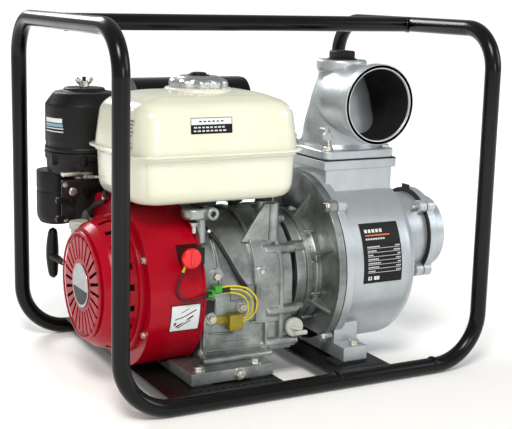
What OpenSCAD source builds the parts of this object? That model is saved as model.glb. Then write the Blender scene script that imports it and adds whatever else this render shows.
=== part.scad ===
// Engine-driven water pump in a tubular carrying frame.
// X runs along the crankshaft towards the suction port, Y to the back, Z up.
// The origin is on the floor under the middle of the frame.

/* [Frame] */
// Outer diameter of the frame tube
tube_d = 25.4; // [22:0.1:28]
// Wall thickness of the frame tube
tube_wall = 2; // [1.5:0.1:3]
// Frame length between tube centres
frame_l = 625; // [615:1:640]
// Frame width between tube centres
frame_w = 454; // [450:1:470]
// Height of the lifting bar's centre above the floor
frame_top = 548.3; // [545:0.1:560]
// Bend radius at the bottom corners
bottom_bend = 80; // [70:1:85]
// Bend radius at the top corners
top_bend = 65; // [55:1:75]

/* [Engine] */
// Depth position of the crankshaft
axis_y = -50; // [-52:1:-48]
// Height of the crankshaft above the floor
axis_z = 157; // [156:1:158]
// Cylinder bore
bore_d = 88; // [80:1:88]
// Piston stroke
stroke = 64; // [60:1:64]
// Tilt of the cylinder from vertical, towards the back
cylinder_tilt = 65; // [65:1:66]
// Teeth on the crankshaft's timing gear; the camshaft's gear has twice as many
gear_teeth = 22; // [22:1:22]
// Outer radius of the fan housing
housing_r = 124; // [122:1:125]

/* [Fuel tank] */
// Length of the tank's seam flange
tank_l = 293; // [285:1:295]
// Depth of the tank's seam flange
tank_w = 212; // [205:1:214]
// Height of the seam above the floor
seam_z = 364; // [362:1:366]

/* [Pump] */
// Height of the pump casing's axis above the floor
casing_z = 166; // [165:1:167]
// Outer radius of the pump casing
casing_r = 138; // [136:1:140]
// Outer radius of the casing flange
flange_r = 149; // [147:1:150]
// Radius of the threaded bore in both ports
port_r = 55.5; // [50:0.5:56]
// Height of the suction port's centre
suction_z = 194; // [192:1:196]
// Height of the discharge outlet's centre
outlet_z = 429; // [427:1:431]

/* [Hidden] */
$fn = 64;

// Frame
tube_r = tube_d / 2;
post_x = frame_l / 2;
rail_y = frame_w / 2;
rail_joint_x = [45, 225];
plate_top = tube_d;
plate_t = 4;
engine_plate_x = [-237, -50];
pump_plate_x = [35, 144];
pad_t = 3;

// Engine stations along the crankshaft
cyl_x = -103;
case_x = [-188, -14];
base_x = [-190, -54];
base_y = [-198, 98];
base_z = [plate_top + pad_t, 46];
case_r = 100;
case_wall = 7;
case_floor_z = 36;
case_step_x = -57;
case_low_z = 50;
sump_x = -153;
gasket_t = 1.5;
cover_x = [case_x[1] + gasket_t, 4];
cover_boss_x = 22;
journal_r = 17.5;
bearing_r = 36;
bearing_w = 17;
seal_r = 28;
running_gap = 0.05;
throw_r = stroke / 2;
pin_x = [-122, -84];
web_t = 14;
rod_l = 110;
head_d = 176;
head_t = 40;
shaft_end_x = 96;
shaft_r = 12.5;
gear_module = 2;
cam_drop = gear_module * gear_teeth * 1.5;
gear_x = [-68, -60];
cam_r = 8;
base_bolt_x = [-172, -77];
base_bolt_y = [-184, 84];
filler_z = 84;
filler_x = 6;
stud_points = [[-73, 48], [73, 48], [-73, -48], [73, -48]];

// Fan housing and recoil starter
housing_x = [-245, -157];
housing_z = 153;
recoil_z = 158;
recoil_x = -306;
duct_y = 58;
duct_z = 283;
sheet_t = 2.5;
slot_count = 26;
vent_count = 20;
handle_x = -283;
handle_y = 152;
handle_z = 164;
switch_x = -187;
switch_z = 218;

// Tank
tank_x = [20 - tank_l, 20];
tank_y = [38 - tank_w, 38];
tank_top = 450;
tank_bottom = 290;
tank_wall = 2.5;
lip = 8;
cap_pos = [-120, -60];
neck_r = 33;
boss_top = 281;
isolator_pos = [[-142, -112], [-30, -112], [-142, -12], [-30, -12]];

// Air cleaner and carburetor
cleaner_pos = [-234, 130];
cleaner_r = 64;
cleaner_seam_z = 338;
cleaner_top = 437;
carb_pos = [-245, 98];
carb_z = 266;
bowl_pos = [-275, 150];
lever_pivots = [[-226, 286], [-276, 262], [-276, 240]];

// Muffler
muffler_x = [-150, 60];
muffler_y = 147;
muffler_z = 402;
exhaust_pos = [-75, 122];

// Pump stations along the shaft
bracket_disc_x = [34, 42];
flange_x = [60, 72, 74, 88];
casing_end_x = 222;
nose_x = 283;
suction_face_x = 324.5;
suction_seat_r = 42;
flap_hinge_z = suction_z + 52;
lug_r = 11;
lug_angles = [45, 135, 225, 315];
foot_x = [59, 117];
foot_y = [-197, 97];
foot_x_casing = [flange_x[2], foot_x[1]];
foot_z = plate_top + 4.6;
neck_x = [76, 212];
neck_y = [-118, 18];
neck_top = 336;
elbow_pos = [144, -50];
elbow_flange_top = 352;
outlet_y = -165;
prime_top = 492;
impeller_r = 72;

// Cord routes, from end to end
alert_route_a = [[-130, -163, 159], [-112, -170, 161], [-92, -171, 156], [-78, -170, 143],
    [-74, -166, 126], [-76, -161, 115], [-82, -157.5, 110.5], [-89, -157, 110]];
alert_route_b = [[-130, -163, 155], [-113, -168, 155], [-96, -169, 150], [-85, -168, 139],
    [-81, -165, 124], [-83, -160, 108], [-86, -157, 102.5], [-89, -157, 102]];
switch_route = [[-190, -172, 207], [-193, -173, 198], [-200, -175, 186], [-205, -178, 172], [-202, -179, 160],
    [-192, -180, 153], [-176, -180, 153], [-162, -180, 157], [-152, -174, 160], [-145, -167, 158]];
vent_route = [[-130, -122, 246], [-125, -137, 232], [-112, -149, 207], [-99, -157, 181], [-93, -158, 164],
    [-93, -155, 150]];
plug_route = [[-24, 120, 254], [-20, 108, 267], [-14, 84, 272], [-12, 56, 270], [-30, 38, 274],
    [-62, 34, 280], [-102, 33, 283], [-142, 34, 283], [-155, 33, 276], [-166, 32, 270]];
fuel_route = [[-251, -8, 292], [-251, -7, 282], [-250, 6, 273], [-250, 30, 266], [-251, 46, 258],
    [-250.5, 58, 247], [-245, 66, 237], [-240, 72, 232], [-240, 77.8, 232]];

// Box between two corners
module slab(x, y, z) {
    translate([x[0], y[0], z[0]]) cube([x[1] - x[0], y[1] - y[0], z[1] - z[0]]);
}

// Cylinders along the three axes
module x_rod(r, x, y = axis_y, z = axis_z, fn = 64) {
    translate([x[0], y, z]) rotate([0, 90, 0]) cylinder(r = r, h = x[1] - x[0], $fn = fn);
}
module y_rod(r, x, y, z, fn = 64) {
    translate([x, y[1], z]) rotate([90, 0, 0]) cylinder(r = r, h = y[1] - y[0], $fn = fn);
}
module z_rod(r, x, y, z, fn = 64) {
    translate([x, y, z[0]]) cylinder(r = r, h = z[1] - z[0], $fn = fn);
}

// Body of revolution about the X direction: outline points are [radius, x]
module x_turned(points, y = axis_y, z = axis_z) {
    translate([0, y, z]) rotate([0, 90, 0]) rotate_extrude() polygon(points);
}

// Cylinder frame: local Z runs from the crankshaft along the engine's cylinder
module along_cylinder() {
    translate([cyl_x, axis_y, axis_z]) rotate([-cylinder_tilt, 0, 0]) children();
}

// Tube swept along a route as one skin, with eight sides
function unit(v) = v / norm(v);
function route_dir(p, i) = unit(p[min(i + 1, len(p) - 1)] - p[max(i - 1, 0)]);
function side_dir(d) = unit(cross(d, abs(d[2]) > 0.9 ? [1, 0, 0] : [0, 0, 1]));
function blend_point(a, b, c, d, t) = 0.5 * (2 * b + (c - a) * t + (2 * a - 5 * b + 4 * c - d) * t * t
    + (3 * b - a - 3 * c + d) * t * t * t);
function smooth_route(p, n) = [for (i = [0:len(p) - 2], k = [0:n - 1])
    blend_point(p[max(i - 1, 0)], p[i], p[i + 1], p[min(i + 2, len(p) - 1)], k / n), p[len(p) - 1]];
function ring(p, i, r, sides) = let (d = route_dir(p, i), s = side_dir(d), u = cross(s, d))
    [for (k = [0:sides - 1]) p[i] + r * (cos(360 * k / sides) * s + sin(360 * k / sides) * u)];
module cord(route, r, steps = 3, sides = 8) {
    p = smooth_route(route, steps);
    n = len(p);
    points = [for (i = [0:n - 1]) each ring(p, i, r, sides)];
    walls = [for (i = [0:n - 2], k = [0:sides - 1])
        [i * sides + k, i * sides + (k + 1) % sides, (i + 1) * sides + (k + 1) % sides, (i + 1) * sides + k]];
    first = [for (k = [0:sides - 1]) sides - 1 - k];
    last = [for (k = [0:sides - 1]) (n - 1) * sides + k];
    polyhedron(points, concat(walls, [first], [last]));
}

// Straight tube along Z, and a quarter bend in the XZ plane from +X side up
module pipe(l) {
    difference() {
        cylinder(r = tube_r, h = l);
        cylinder(r = tube_r - tube_wall, h = l);
    }
}
module pipe_bend(r) {
    rotate_extrude(angle = 90) translate([r, 0]) difference() {
        circle(r = tube_r);
        circle(r = tube_r - tube_wall);
    }
}

// Hex-headed bolt along +Z: head up at the origin, shank below
module bolt(shank_r, shank_l, head_r, head_h) {
    translate([0, 0, -shank_l]) cylinder(r = shank_r, h = shank_l);
    bolt_head(head_r, head_h);
}
module bolt_head(head_r, head_h) {
    cylinder(r = head_r * 1.25, h = head_h * 0.2);
    cylinder(r = head_r, h = head_h, $fn = 6);
}

// One half of an end hoop: rail stretch, bottom bend, post, top bend and half of the cross piece
module half_hoop(joint_x) {
    bend_x = post_x - bottom_bend;
    translate([joint_x, -rail_y, tube_r]) rotate([0, 90, 0]) pipe(bend_x - joint_x);
    translate([bend_x, -rail_y, tube_r + bottom_bend]) rotate([90, 0, 0]) mirror([0, 1, 0])
        pipe_bend(bottom_bend);
    translate([post_x, -rail_y, tube_r + bottom_bend]) pipe(frame_top - top_bend - bottom_bend - tube_r);
    translate([post_x, top_bend - rail_y, frame_top - top_bend]) rotate([0, 0, -90]) rotate([90, 0, 0])
        pipe_bend(top_bend);
    translate([post_x, top_bend - rail_y, frame_top]) rotate([-90, 0, 0]) pipe(rail_y - top_bend);
}
module hoop(joint_x) {
    half_hoop(joint_x);
    mirror([0, 1, 0]) half_hoop(joint_x);
}

module left_hoop() {
    color("black") mirror([1, 0, 0]) hoop(-rail_joint_x[0]);
}

module right_hoop() {
    color("black") hoop(rail_joint_x[1]);
}

module bottom_rails() {
    color("black") for (side = [-1, 1])
        translate([rail_joint_x[0], side * rail_y, tube_r]) rotate([0, 90, 0])
            pipe(rail_joint_x[1] - rail_joint_x[0]);
}

module lifting_bar() {
    color("black") difference() {
        translate([-post_x, 0, frame_top]) rotate([0, 90, 0]) pipe(frame_l);
        for (side = [-1, 1])
            y_rod(tube_r, side * post_x, [-tube_d, tube_d], frame_top);
    }
}

module rail_rods() {
    for (side = [-1, 1])
        translate([-post_x, side * rail_y, tube_r]) rotate([0, 90, 0]) cylinder(r = tube_r, h = frame_l);
}

module cross_plates() {
    color("dimgray") difference() {
        for (x = [engine_plate_x, pump_plate_x])
            slab(x, [-rail_y, rail_y], [plate_top - plate_t, plate_top]);
        rail_rods();
        bolt_holes_down();
    }
}

module bolt_holes_down() {
    for (x = base_bolt_x, y = base_bolt_y)
        z_rod(5.5, x, y, [10, base_z[1] + 1]);
    for (y = [foot_y[0] + 15, foot_y[1] - 15])
        z_rod(5.5, foot_x[1] - 15, y, [10, 60]);
}

module rubber_mounts() {
    color("#202020") difference() {
        union() {
            for (x = base_bolt_x, y = base_bolt_y)
                slab([x - 16, x + 16], [y - 14, y + 14], [plate_top, plate_top + pad_t]);
            for (y = [foot_y[0] + 15, foot_y[1] - 15])
                slab([foot_x[0], foot_x[1]], [y - 15, y + 15], [plate_top, foot_z]);
        }
        bolt_holes_down();
    }
    color("#202020") for (p = isolator_pos)
        z_rod(13, p[0], p[1], [boss_top, tank_bottom]);
}

// Outline of the crankcase joint in local axes: first across, then up, about the crankshaft
module case_outline(r, low) {
    circle(r = r);
    translate([-r, low - axis_z]) square([2 * r, axis_z - low]);
}
module case_prism(r, low, x) {
    translate([x[0], axis_y, axis_z]) rotate([90, 0, 90]) linear_extrude(x[1] - x[0]) case_outline(r, low);
}

module tank_posts() {
    for (p = isolator_pos)
        z_rod(10, p[0], p[1], [200, boss_top]);
    for (p = isolator_pos)
        z_rod(14, p[0], p[1], [boss_top - 19, boss_top]);
}

module crankcase() {
    color("#a9aaa6") difference() {
        union() {
            x_rod(case_r, [case_x[0], sump_x]);
            case_prism(case_r, case_low_z, [sump_x, case_x[1]]);
            difference() {
                slab(base_x, base_y, base_z);
                x_rod(housing_r + 2, [base_x[0] - 1, housing_x[1] + 2], axis_y, housing_z);
            }
            slab([sump_x, base_x[1]], [axis_y - case_r + 1, axis_y + case_r - 1],
                [base_z[0], case_low_z + 10]);
            x_rod(46, [-196, case_x[0] + 1]);
            along_cylinder() translate([0, 0, 60]) cylinder(r = 53, h = head_d - 60);
            for (k = [0:4])
                along_cylinder() translate([-52, -68, 112 + 13 * k]) cube([114, 136, 3]);
            tank_posts();
            y_rod(10, -129, [axis_y - case_r, axis_y - 80], 178);
        }
        x_rod(case_r - case_wall, [case_x[0] + 12, sump_x + case_wall]);
        case_prism(case_r - case_wall, case_low_z + case_wall, [sump_x + case_wall, case_x[1] + 1]);
        slab([sump_x + case_wall, case_step_x], [axis_y - case_r + 10, axis_y + case_r - 10],
            [case_floor_z, case_low_z + 20]);
        along_cylinder() cylinder(r = bore_d / 2, h = head_d + 1);
        x_rod(seal_r, [-197, -170]);
        x_rod(bearing_r, [-188, -170]);
        x_rod(cam_r + running_gap, [-184, -170], axis_y, axis_z - cam_drop);
        bolt_holes_down();
        y_rod(5, -111, [base_y[0] - 1, base_y[0] + 18], 37);
    }
}

module side_cover() {
    color("#a9aaa6") difference() {
        union() {
            case_prism(case_r, case_low_z, cover_x);
            x_rod(46, [cover_x[0], cover_boss_x]);
            y_rod(14, filler_x, [axis_y - case_r - 2, axis_y - 60], filler_z);
            x_rod(14, [cover_x[0] - 10, cover_x[1] - 1], axis_y, axis_z - cam_drop);
            for (p = stud_points)
                x_rod(10, [cover_x[1] - 1, cover_x[1] + 14], axis_y + p[0], axis_z + p[1]);
        }
        x_rod(bearing_r, [cover_x[0] - 1, 9]);
        x_rod(24, [8, 13]);
        x_rod(seal_r, [12, cover_boss_x + 1]);
        x_rod(cam_r + running_gap, [cover_x[0] - 11, -2], axis_y, axis_z - cam_drop);
        y_rod(9, filler_x, [axis_y - case_r - 3, axis_y - 70], filler_z);
    }
}

module cover_gasket() {
    color("#8a5a2a") difference() {
        case_prism(case_r, case_low_z, [case_x[1], cover_x[0]]);
        case_prism(case_r - case_wall, case_low_z + case_wall, [case_x[1] - 1, cover_x[0] + 1]);
    }
}

module crank_bearings() {
    color("silver") for (x = [-188, 9 - bearing_w])
        difference() {
            x_rod(bearing_r, [x, x + bearing_w]);
            x_rod(journal_r + running_gap, [x - 1, x + bearing_w + 1]);
        }
}

module shaft_seals() {
    color("#202020") for (x = [[-196, -189], [13, 21]])
        difference() {
            x_rod(seal_r, x);
            x_rod(journal_r + running_gap, [x[0] - 1, x[1] + 1]);
        }
    color("#202020") difference() {
        x_rod(22, [62, 70]);
        x_rod(shaft_r + 0.3, [61, 71]);
    }
}

// Straight-flanked gear; the first tooth points down
function tooth(n, k, start) = let (pitch = 360 / n, pr = gear_module * n / 2, a = start + k * pitch,
        half = 0.2 * pitch, tip = 0.1 * pitch,
        root_r = pr - 1.25 * gear_module, tip_r = pr + 0.85 * gear_module)
    [for (q = [[root_r, -half * 1.5], [tip_r, -tip], [tip_r, tip], [root_r, half * 1.5]])
        q[0] * [cos(a + q[1]), sin(a + q[1])]];
module gear(n, start) {
    polygon([for (k = [0:n - 1]) each tooth(n, k, start)]);
}
module gear_x_extrude(n, start, z) {
    translate([gear_x[0], axis_y, z]) rotate([90, 0, 90]) linear_extrude(gear_x[1] - gear_x[0])
        gear(n, start);
}

module crankshaft() {
    color("silver") {
        x_rod(journal_r, [-200, pin_x[0] - web_t - 0.5]);
        x_rod(10, [-246, -200]);
        x_rod(journal_r, [pin_x[1] + web_t + 0.5, 23]);
        x_rod(shaft_r, [23, shaft_end_x]);
        gear_x_extrude(gear_teeth, -90, axis_z);
    }
}

module crank_throw() {
    color("silver") {
        for (x = [pin_x[0] - web_t, pin_x[1]])
            intersection() {
                x_rod(54, [x, x + web_t]);
                along_cylinder() translate([-60, -34, -60]) cube([120, 68, 120]);
            }
        along_cylinder() translate([pin_x[0] - cyl_x, 0, throw_r]) rotate([0, 90, 0])
            cylinder(r = 19, h = pin_x[1] - pin_x[0]);
    }
}

module camshaft() {
    color("dimgray") {
        x_rod(cam_r, [-183.5, -2.5], axis_y, axis_z - cam_drop);
        gear_x_extrude(2 * gear_teeth, 90 + 90 / gear_teeth, axis_z - cam_drop);
        for (x = [-152, -144])
            x_rod(12, [x, x + 6], axis_y + (x < -150 ? 6 : -6), axis_z - cam_drop);
    }
}

module connecting_rod() {
    color("silver") along_cylinder() difference() {
        union() {
            translate([-14, 0, throw_r]) rotate([0, 90, 0]) cylinder(r = 28, h = 28);
            translate([-8, -11, throw_r]) cube([16, 22, rod_l]);
            translate([-12, 0, throw_r + rod_l]) rotate([0, 90, 0]) cylinder(r = 15, h = 24);
        }
        translate([-20, 0, throw_r]) rotate([0, 90, 0]) cylinder(r = 19.05, h = 40);
        translate([-20, 0, throw_r + rod_l]) rotate([0, 90, 0]) cylinder(r = 9.05, h = 40);
    }
}

module piston() {
    pin_d = throw_r + rod_l;
    color("#c8c8c4") along_cylinder() difference() {
        translate([0, 0, pin_d - 24]) cylinder(r = bore_d / 2 - 0.1, h = 54);
        translate([0, 0, pin_d - 25]) cylinder(r = bore_d / 2 - 5, h = 45);
        translate([-bore_d, 0, pin_d]) rotate([0, 90, 0]) cylinder(r = 9.05, h = 2 * bore_d);
    }
    color("silver") along_cylinder() translate([-bore_d / 2 + 2, 0, pin_d]) rotate([0, 90, 0])
        cylinder(r = 9, h = bore_d - 4);
}

module cylinder_head() {
    color("#a9aaa6") along_cylinder() difference() {
        union() {
            translate([-58, -52, head_d]) cube([116, 104, head_t]);
            for (k = [0:2])
                translate([-58, -62, head_d + 4 + 12 * k]) cube([116, 124, 3]);
        }
        translate([0, 0, head_d - 1]) cylinder(r = bore_d / 2 - 4, h = 11);
        translate([44, 0, head_d + 20]) rotate([0, 90, 0]) cylinder(r = 6, h = 20);
    }
}

module valve_cover() {
    color("#a9aaa6") along_cylinder() difference() {
        translate([0, 0, head_d + head_t]) union() {
            translate([-54, -48, 0]) cube([108, 96, 6]);
            translate([-48, -42, 0]) cube([96, 84, 28]);
        }
        translate([-44, -38, head_d + head_t - 1]) cube([88, 76, 25]);
    }
}

module spark_plug() {
    color("ivory") along_cylinder() translate([44, 0, head_d + 20]) rotate([0, 90, 0])
        cylinder(r = 6, h = 26);
    color("#202020") along_cylinder() translate([70, 0, head_d + 20]) rotate([0, 90, 0])
        cylinder(r = 11, h = 14);
    color("#202020") along_cylinder() translate([73, -14, head_d + 10]) cube([12, 8, 20]);
}

module flywheel_fan() {
    color("#8f9090") difference() {
        union() {
            x_rod(92, [-212, -201]);
            x_rod(26, [-220, -200.5]);
            for (k = [0:11])
                translate([-236, axis_y, axis_z]) rotate([30 * k, 0, 0])
                    translate([0, 54, -2]) cube([25, 36, 3]);
        }
        x_rod(10, [-240, -199]);
        x_rod(journal_r, [-200.6, -199]);
    }
    color("dimgray") difference() {
        x_rod(42, [-234, -220]);
        x_rod(38, [-235, -222]);
        x_rod(10, [-240, -199]);
    }
}

// Solid outside shape of the fan housing
module housing_solid(grow, x) {
    x_rod(housing_r + grow, x, axis_y, housing_z);
    difference() {
        slab(x, [axis_y, duct_y + grow], [housing_z, duct_z + grow]);
        translate([x[0] - 1, duct_y + grow - 30, duct_z + grow - 30]) cube([x[1] - x[0] + 2, 31, 31]);
    }
    x_rod(30, x, duct_y + grow - 30, duct_z + grow - 30);
}

module fan_housing() {
    color("#b3122b") difference() {
        housing_solid(0, housing_x);
        housing_solid(-sheet_t, [housing_x[0] + sheet_t, housing_x[1] + 1]);
        x_rod(94, [housing_x[0] - 1, housing_x[0] + 10], axis_y, recoil_z);
    }
}

// Outline of the recoil cover: radius, then distance from the housing face
module recoil_shell(inset) {
    x0 = housing_x[0];
    x_turned([[0, recoil_x + inset], [72 - inset, recoil_x + inset], [86 - inset, recoil_x + 6 + inset],
        [94 - inset, recoil_x + 16 + inset], [100 - inset, recoil_x + 34], [102 - inset, x0],
        [0, x0]], axis_y, recoil_z);
}

module recoil_cover() {
    color("#b3122b") difference() {
        union() {
            recoil_shell(0);
            x_rod(108, [housing_x[0] - 6, housing_x[0]], axis_y, recoil_z);
        }
        difference() {
            recoil_shell(sheet_t);
            x_rod(9, [recoil_x, recoil_x + 40], axis_y, recoil_z);
        }
        x_rod(102 - sheet_t, [housing_x[0] - 7, housing_x[0] + 1], axis_y, recoil_z);
        for (k = [0:slot_count - 1])
            translate([recoil_x - 1, axis_y, recoil_z]) rotate([360 * k / slot_count, 0, 0])
                translate([0, 40, -2.4]) cube([12, 36, 4.8]);
        for (k = [0:vent_count - 1])
            translate([recoil_x + 22, axis_y, recoil_z]) rotate([360 * (k + 0.5) / vent_count, 0, 0])
                translate([0, 80, -4.5]) cube([24, 30, 9]);
        y_rod(7, handle_x, [axis_y + 60, axis_y + 120], recoil_z);
    }
}

module recoil_reel() {
    color("#202020") difference() {
        union() {
            x_rod(58, [-292, -290], axis_y, recoil_z);
            x_rod(48, [-291, -279], axis_y, recoil_z);
            x_rod(58, [-280, -278], axis_y, recoil_z);
        }
        x_rod(9 + 0.3, [-295, -262], axis_y, recoil_z);
    }
}

module starter_rope() {
    color("white") y_rod(2.5, handle_x, [axis_y + 97, handle_y - 30], recoil_z, 16);
}

module recoil_handle() {
    color("#202020") {
        z_rod(10.5, handle_x, handle_y, [handle_z - 36, handle_z + 36]);
        for (side = [-1, 1])
            translate([handle_x, handle_y, handle_z + side * 36]) sphere(r = 10.5);
        y_rod(8, handle_x, [handle_y - 30, handle_y], recoil_z);
    }
}

// Rounded block through two levels, each [x0, x1, y0, y1, z, corner radius]
module loft(levels) {
    hull() for (l = levels)
        for (x = [l[0] + l[5], l[1] - l[5]], y = [l[2] + l[5], l[3] - l[5]])
            translate([x, y, l[4]]) cylinder(r = l[5], h = 0.1, $fn = 32);
}
function level(inset, z, r) =
    [tank_x[0] + inset, tank_x[1] - inset, tank_y[0] + inset, tank_y[1] - inset, z, r];
module tank_shape(up, t) {
    top = tank_top;
    if (up) loft([level(lip + t, seam_z, 38 - t), level(lip + 7 + t, top - 26, 36 - t),
        level(lip + 17 + t, top - 14 - t, 32 - t), level(lip + 46 + t, top - 3 - t, 22 - t),
        level(lip + 66 + t, top - t, 14 - t)]);
    if (!up) loft([level(lip + t, seam_z, 38 - t), level(lip + 4 + t, tank_bottom + 24, 36 - t),
        level(lip + 9 + t, tank_bottom + 9 + t, 34 - t), level(lip + 22 + t, tank_bottom + t, 28 - t)]);
}
module seam_flange(z) {
    translate([0, 0, z]) linear_extrude(1.6) difference() {
        flange_outline(0, 44);
        flange_outline(lip + tank_wall, 36);
    }
}
module flange_outline(inset, r) {
    x0 = tank_x[0] + inset;
    y0 = tank_y[0] + inset;
    l = tank_l - 2 * inset;
    w = tank_w - 2 * inset;
    for (x = [x0 + r, x0 + l - r], y = [y0 + r, y0 + w - r])
        translate([x, y]) circle(r = r);
    translate([x0 + r, y0]) square([l - 2 * r, w]);
    translate([x0, y0 + r]) square([l, w - 2 * r]);
}

module tank_lower() {
    color("#e4e1cf") {
        difference() {
            tank_shape(false, 0);
            tank_shape(false, tank_wall);
            translate([tank_x[0], tank_y[0], seam_z]) cube([tank_l, tank_w, 5]);
        }
        seam_flange(seam_z - 1.6);
    }
}

module tank_upper() {
    color("#e4e1cf") difference() {
        union() {
            tank_shape(true, 0);
            seam_flange(seam_z);
            z_rod(neck_r + 3, cap_pos[0], cap_pos[1], [tank_top - 5, tank_top + 7]);
        }
        tank_shape(true, tank_wall);
        translate([tank_x[0] + 40, tank_y[0] + 40, seam_z - 1]) cube([tank_l - 80, tank_w - 80, 3]);
        z_rod(neck_r, cap_pos[0], cap_pos[1], [tank_top - 20, tank_top + 8]);
    }
}

module cap_seal() {
    color("#202020") difference() {
        z_rod(neck_r + 3, cap_pos[0], cap_pos[1], [tank_top + 7, tank_top + 8.5]);
        z_rod(neck_r - 6, cap_pos[0], cap_pos[1], [tank_top + 6, tank_top + 9]);
    }
}

module fuel_cap() {
    color("silver") difference() {
        union() {
            z_rod(42, cap_pos[0], cap_pos[1], [tank_top + 3, tank_top + 15]);
            z_rod(34, cap_pos[0], cap_pos[1], [tank_top + 15, tank_top + 18]);
            for (k = [0:9])
                translate([cap_pos[0] + 40 * cos(36 * k), cap_pos[1] + 40 * sin(36 * k), tank_top + 3])
                    cylinder(r = 6, h = 12);
        }
        z_rod(neck_r + 3.5, cap_pos[0], cap_pos[1], [tank_top + 2, tank_top + 8.5]);
    }
    color("#202020") z_rod(12, cap_pos[0], cap_pos[1], [tank_top + 18, tank_top + 23]);
}

module carburetor() {
    color("#8c8c88") difference() {
        union() {
            slab([carb_pos[0] - 22, carb_pos[0] + 22], [carb_pos[1] - 20, carb_pos[1] + 18],
                [carb_z - 20, carb_z + 22]);
            x_rod(18, [carb_pos[0] - 24, carb_pos[0] + 24], carb_pos[1], carb_z);
            z_rod(16, carb_pos[0], carb_pos[1], [carb_z + 22, 300]);
        }
        x_rod(12, [carb_pos[0] - 10, carb_pos[0] + 25], carb_pos[1], carb_z);
        z_rod(11, carb_pos[0], carb_pos[1], [carb_z, 301]);
    }
    color("#c0c0bc") {
        z_rod(20, carb_pos[0], carb_pos[1], [carb_z - 48, carb_z - 20]);
        z_rod(8, carb_pos[0], carb_pos[1], [carb_z - 56, carb_z - 48]);
    }
}

module intake_pipe() {
    color("#202020") difference() {
        union() {
            x_rod(15, [carb_pos[0] + 24, cyl_x - 58], carb_pos[1], carb_z);
            slab([cyl_x - 62, cyl_x - 58], [carb_pos[1] - 18, carb_pos[1] + 18], [carb_z - 22, carb_z + 22]);
        }
        x_rod(11, [carb_pos[0] + 23, cyl_x - 57], carb_pos[1], carb_z);
    }
}

module air_cleaner_base() {
    color("#1c1c1c") difference() {
        union() {
            z_rod(cleaner_r - 2, cleaner_pos[0], cleaner_pos[1], [300, cleaner_seam_z - 12]);
            z_rod(cleaner_r, cleaner_pos[0], cleaner_pos[1], [cleaner_seam_z - 12, cleaner_seam_z]);
            z_rod(33, bowl_pos[0], bowl_pos[1], [224, 304]);
            translate([bowl_pos[0], bowl_pos[1], 215]) cylinder(r1 = 26, r2 = 33, h = 9);
        }
        z_rod(cleaner_r - 5, cleaner_pos[0], cleaner_pos[1], [303, cleaner_seam_z + 1]);
        z_rod(30, bowl_pos[0], bowl_pos[1], [226, 304]);
        z_rod(11, carb_pos[0], carb_pos[1], [299, 304]);
    }
    color("silver") z_rod(3, cleaner_pos[0], cleaner_pos[1], [300, 456]);
}

module air_filter_element() {
    color("#c9b458") difference() {
        z_rod(50, cleaner_pos[0], cleaner_pos[1], [cleaner_seam_z - 34, 424]);
        z_rod(34, cleaner_pos[0], cleaner_pos[1], [cleaner_seam_z - 35, 425]);
    }
}

// Outline of the air cleaner's cover: radius, then height
module cleaner_shell(t) {
    translate([cleaner_pos[0], cleaner_pos[1], 0]) rotate_extrude()
        polygon([[0, cleaner_seam_z - (t > 0 ? 1 : 0)], [cleaner_r - t, cleaner_seam_z - (t > 0 ? 1 : 0)],
            [cleaner_r - t, 414], [cleaner_r - 16 - t, cleaner_top - 3 - t], [0, cleaner_top - 3 - t]]);
}
module air_cleaner_cover() {
    color("#1c1c1c") difference() {
        union() {
            cleaner_shell(0);
            z_rod(31, cleaner_pos[0], cleaner_pos[1], [cleaner_top - 4, cleaner_top + 2]);
        }
        cleaner_shell(2.5);
        z_rod(3.5, cleaner_pos[0], cleaner_pos[1], [400, cleaner_top + 3]);
    }
}

module wing_nut() {
    color("silver") difference() {
        union() {
            z_rod(7, cleaner_pos[0], cleaner_pos[1], [cleaner_top + 2, cleaner_top + 12]);
            for (side = [-1, 1])
                translate([cleaner_pos[0] + side * 9, cleaner_pos[1] + 1.5, cleaner_top + 13])
                    rotate([90, 0, 0]) cylinder(r = 6, h = 3);
        }
        z_rod(3.1, cleaner_pos[0], cleaner_pos[1], [cleaner_top + 1, cleaner_top + 20]);
    }
}

module control_plate() {
    color("silver") difference() {
        union() {
            slab([-292, -198], [76, 78], [228, 298]);
            slab([-292, -262], [68, 76], [296, 298]);
        }
        for (p = lever_pivots)
            y_rod(3.05, p[0], [60, 80], p[1]);
        y_rod(21, carb_pos[0] + 6, [70, 79], carb_z - 34);
    }
}

module lever(pivot, length, angle) {
    y_rod(3, pivot[0], [66, 77.9], pivot[1]);
    translate([pivot[0], 75.5, pivot[1]]) rotate([90, 0, 0]) rotate([0, 0, angle]) {
        cylinder(r = 6, h = 3);
        translate([0, -3.5, 0]) cube([length, 7, 3]);
        translate([length, 0, 0]) cylinder(r = 6, h = 9);
    }
}

module throttle_lever() {
    color("#303030") lever(lever_pivots[0], 26, 196);
}

module choke_lever() {
    color("#303030") lever(lever_pivots[1], 22, 170);
}

module fuel_lever() {
    color("#303030") lever(lever_pivots[2], 22, 190);
}

module rounded_bar(x, y, z, half_y, half_z, r) {
    translate([x[0], y, z]) rotate([90, 0, 90]) linear_extrude(x[1] - x[0]) {
        for (sy = [-1, 1], sz = [-1, 1])
            translate([sy * (half_y - r), sz * (half_z - r)]) circle(r = r);
        square([2 * half_y, 2 * (half_z - r)], center = true);
        square([2 * (half_y - r), 2 * half_z], center = true);
    }
}

module muffler() {
    color("dimgray") {
        rounded_bar([muffler_x[0] + 14, muffler_x[1] - 14], muffler_y, muffler_z, 36, 40, 30);
        x_rod(10, [muffler_x[1] - 14, muffler_x[1] + 6], muffler_y + 10, muffler_z - 12);
        slab([muffler_x[0] + 60, muffler_x[0] + 90], [muffler_y - 4, muffler_y + 4],
            [muffler_z + 40, muffler_z + 47]);
    }
}

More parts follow.
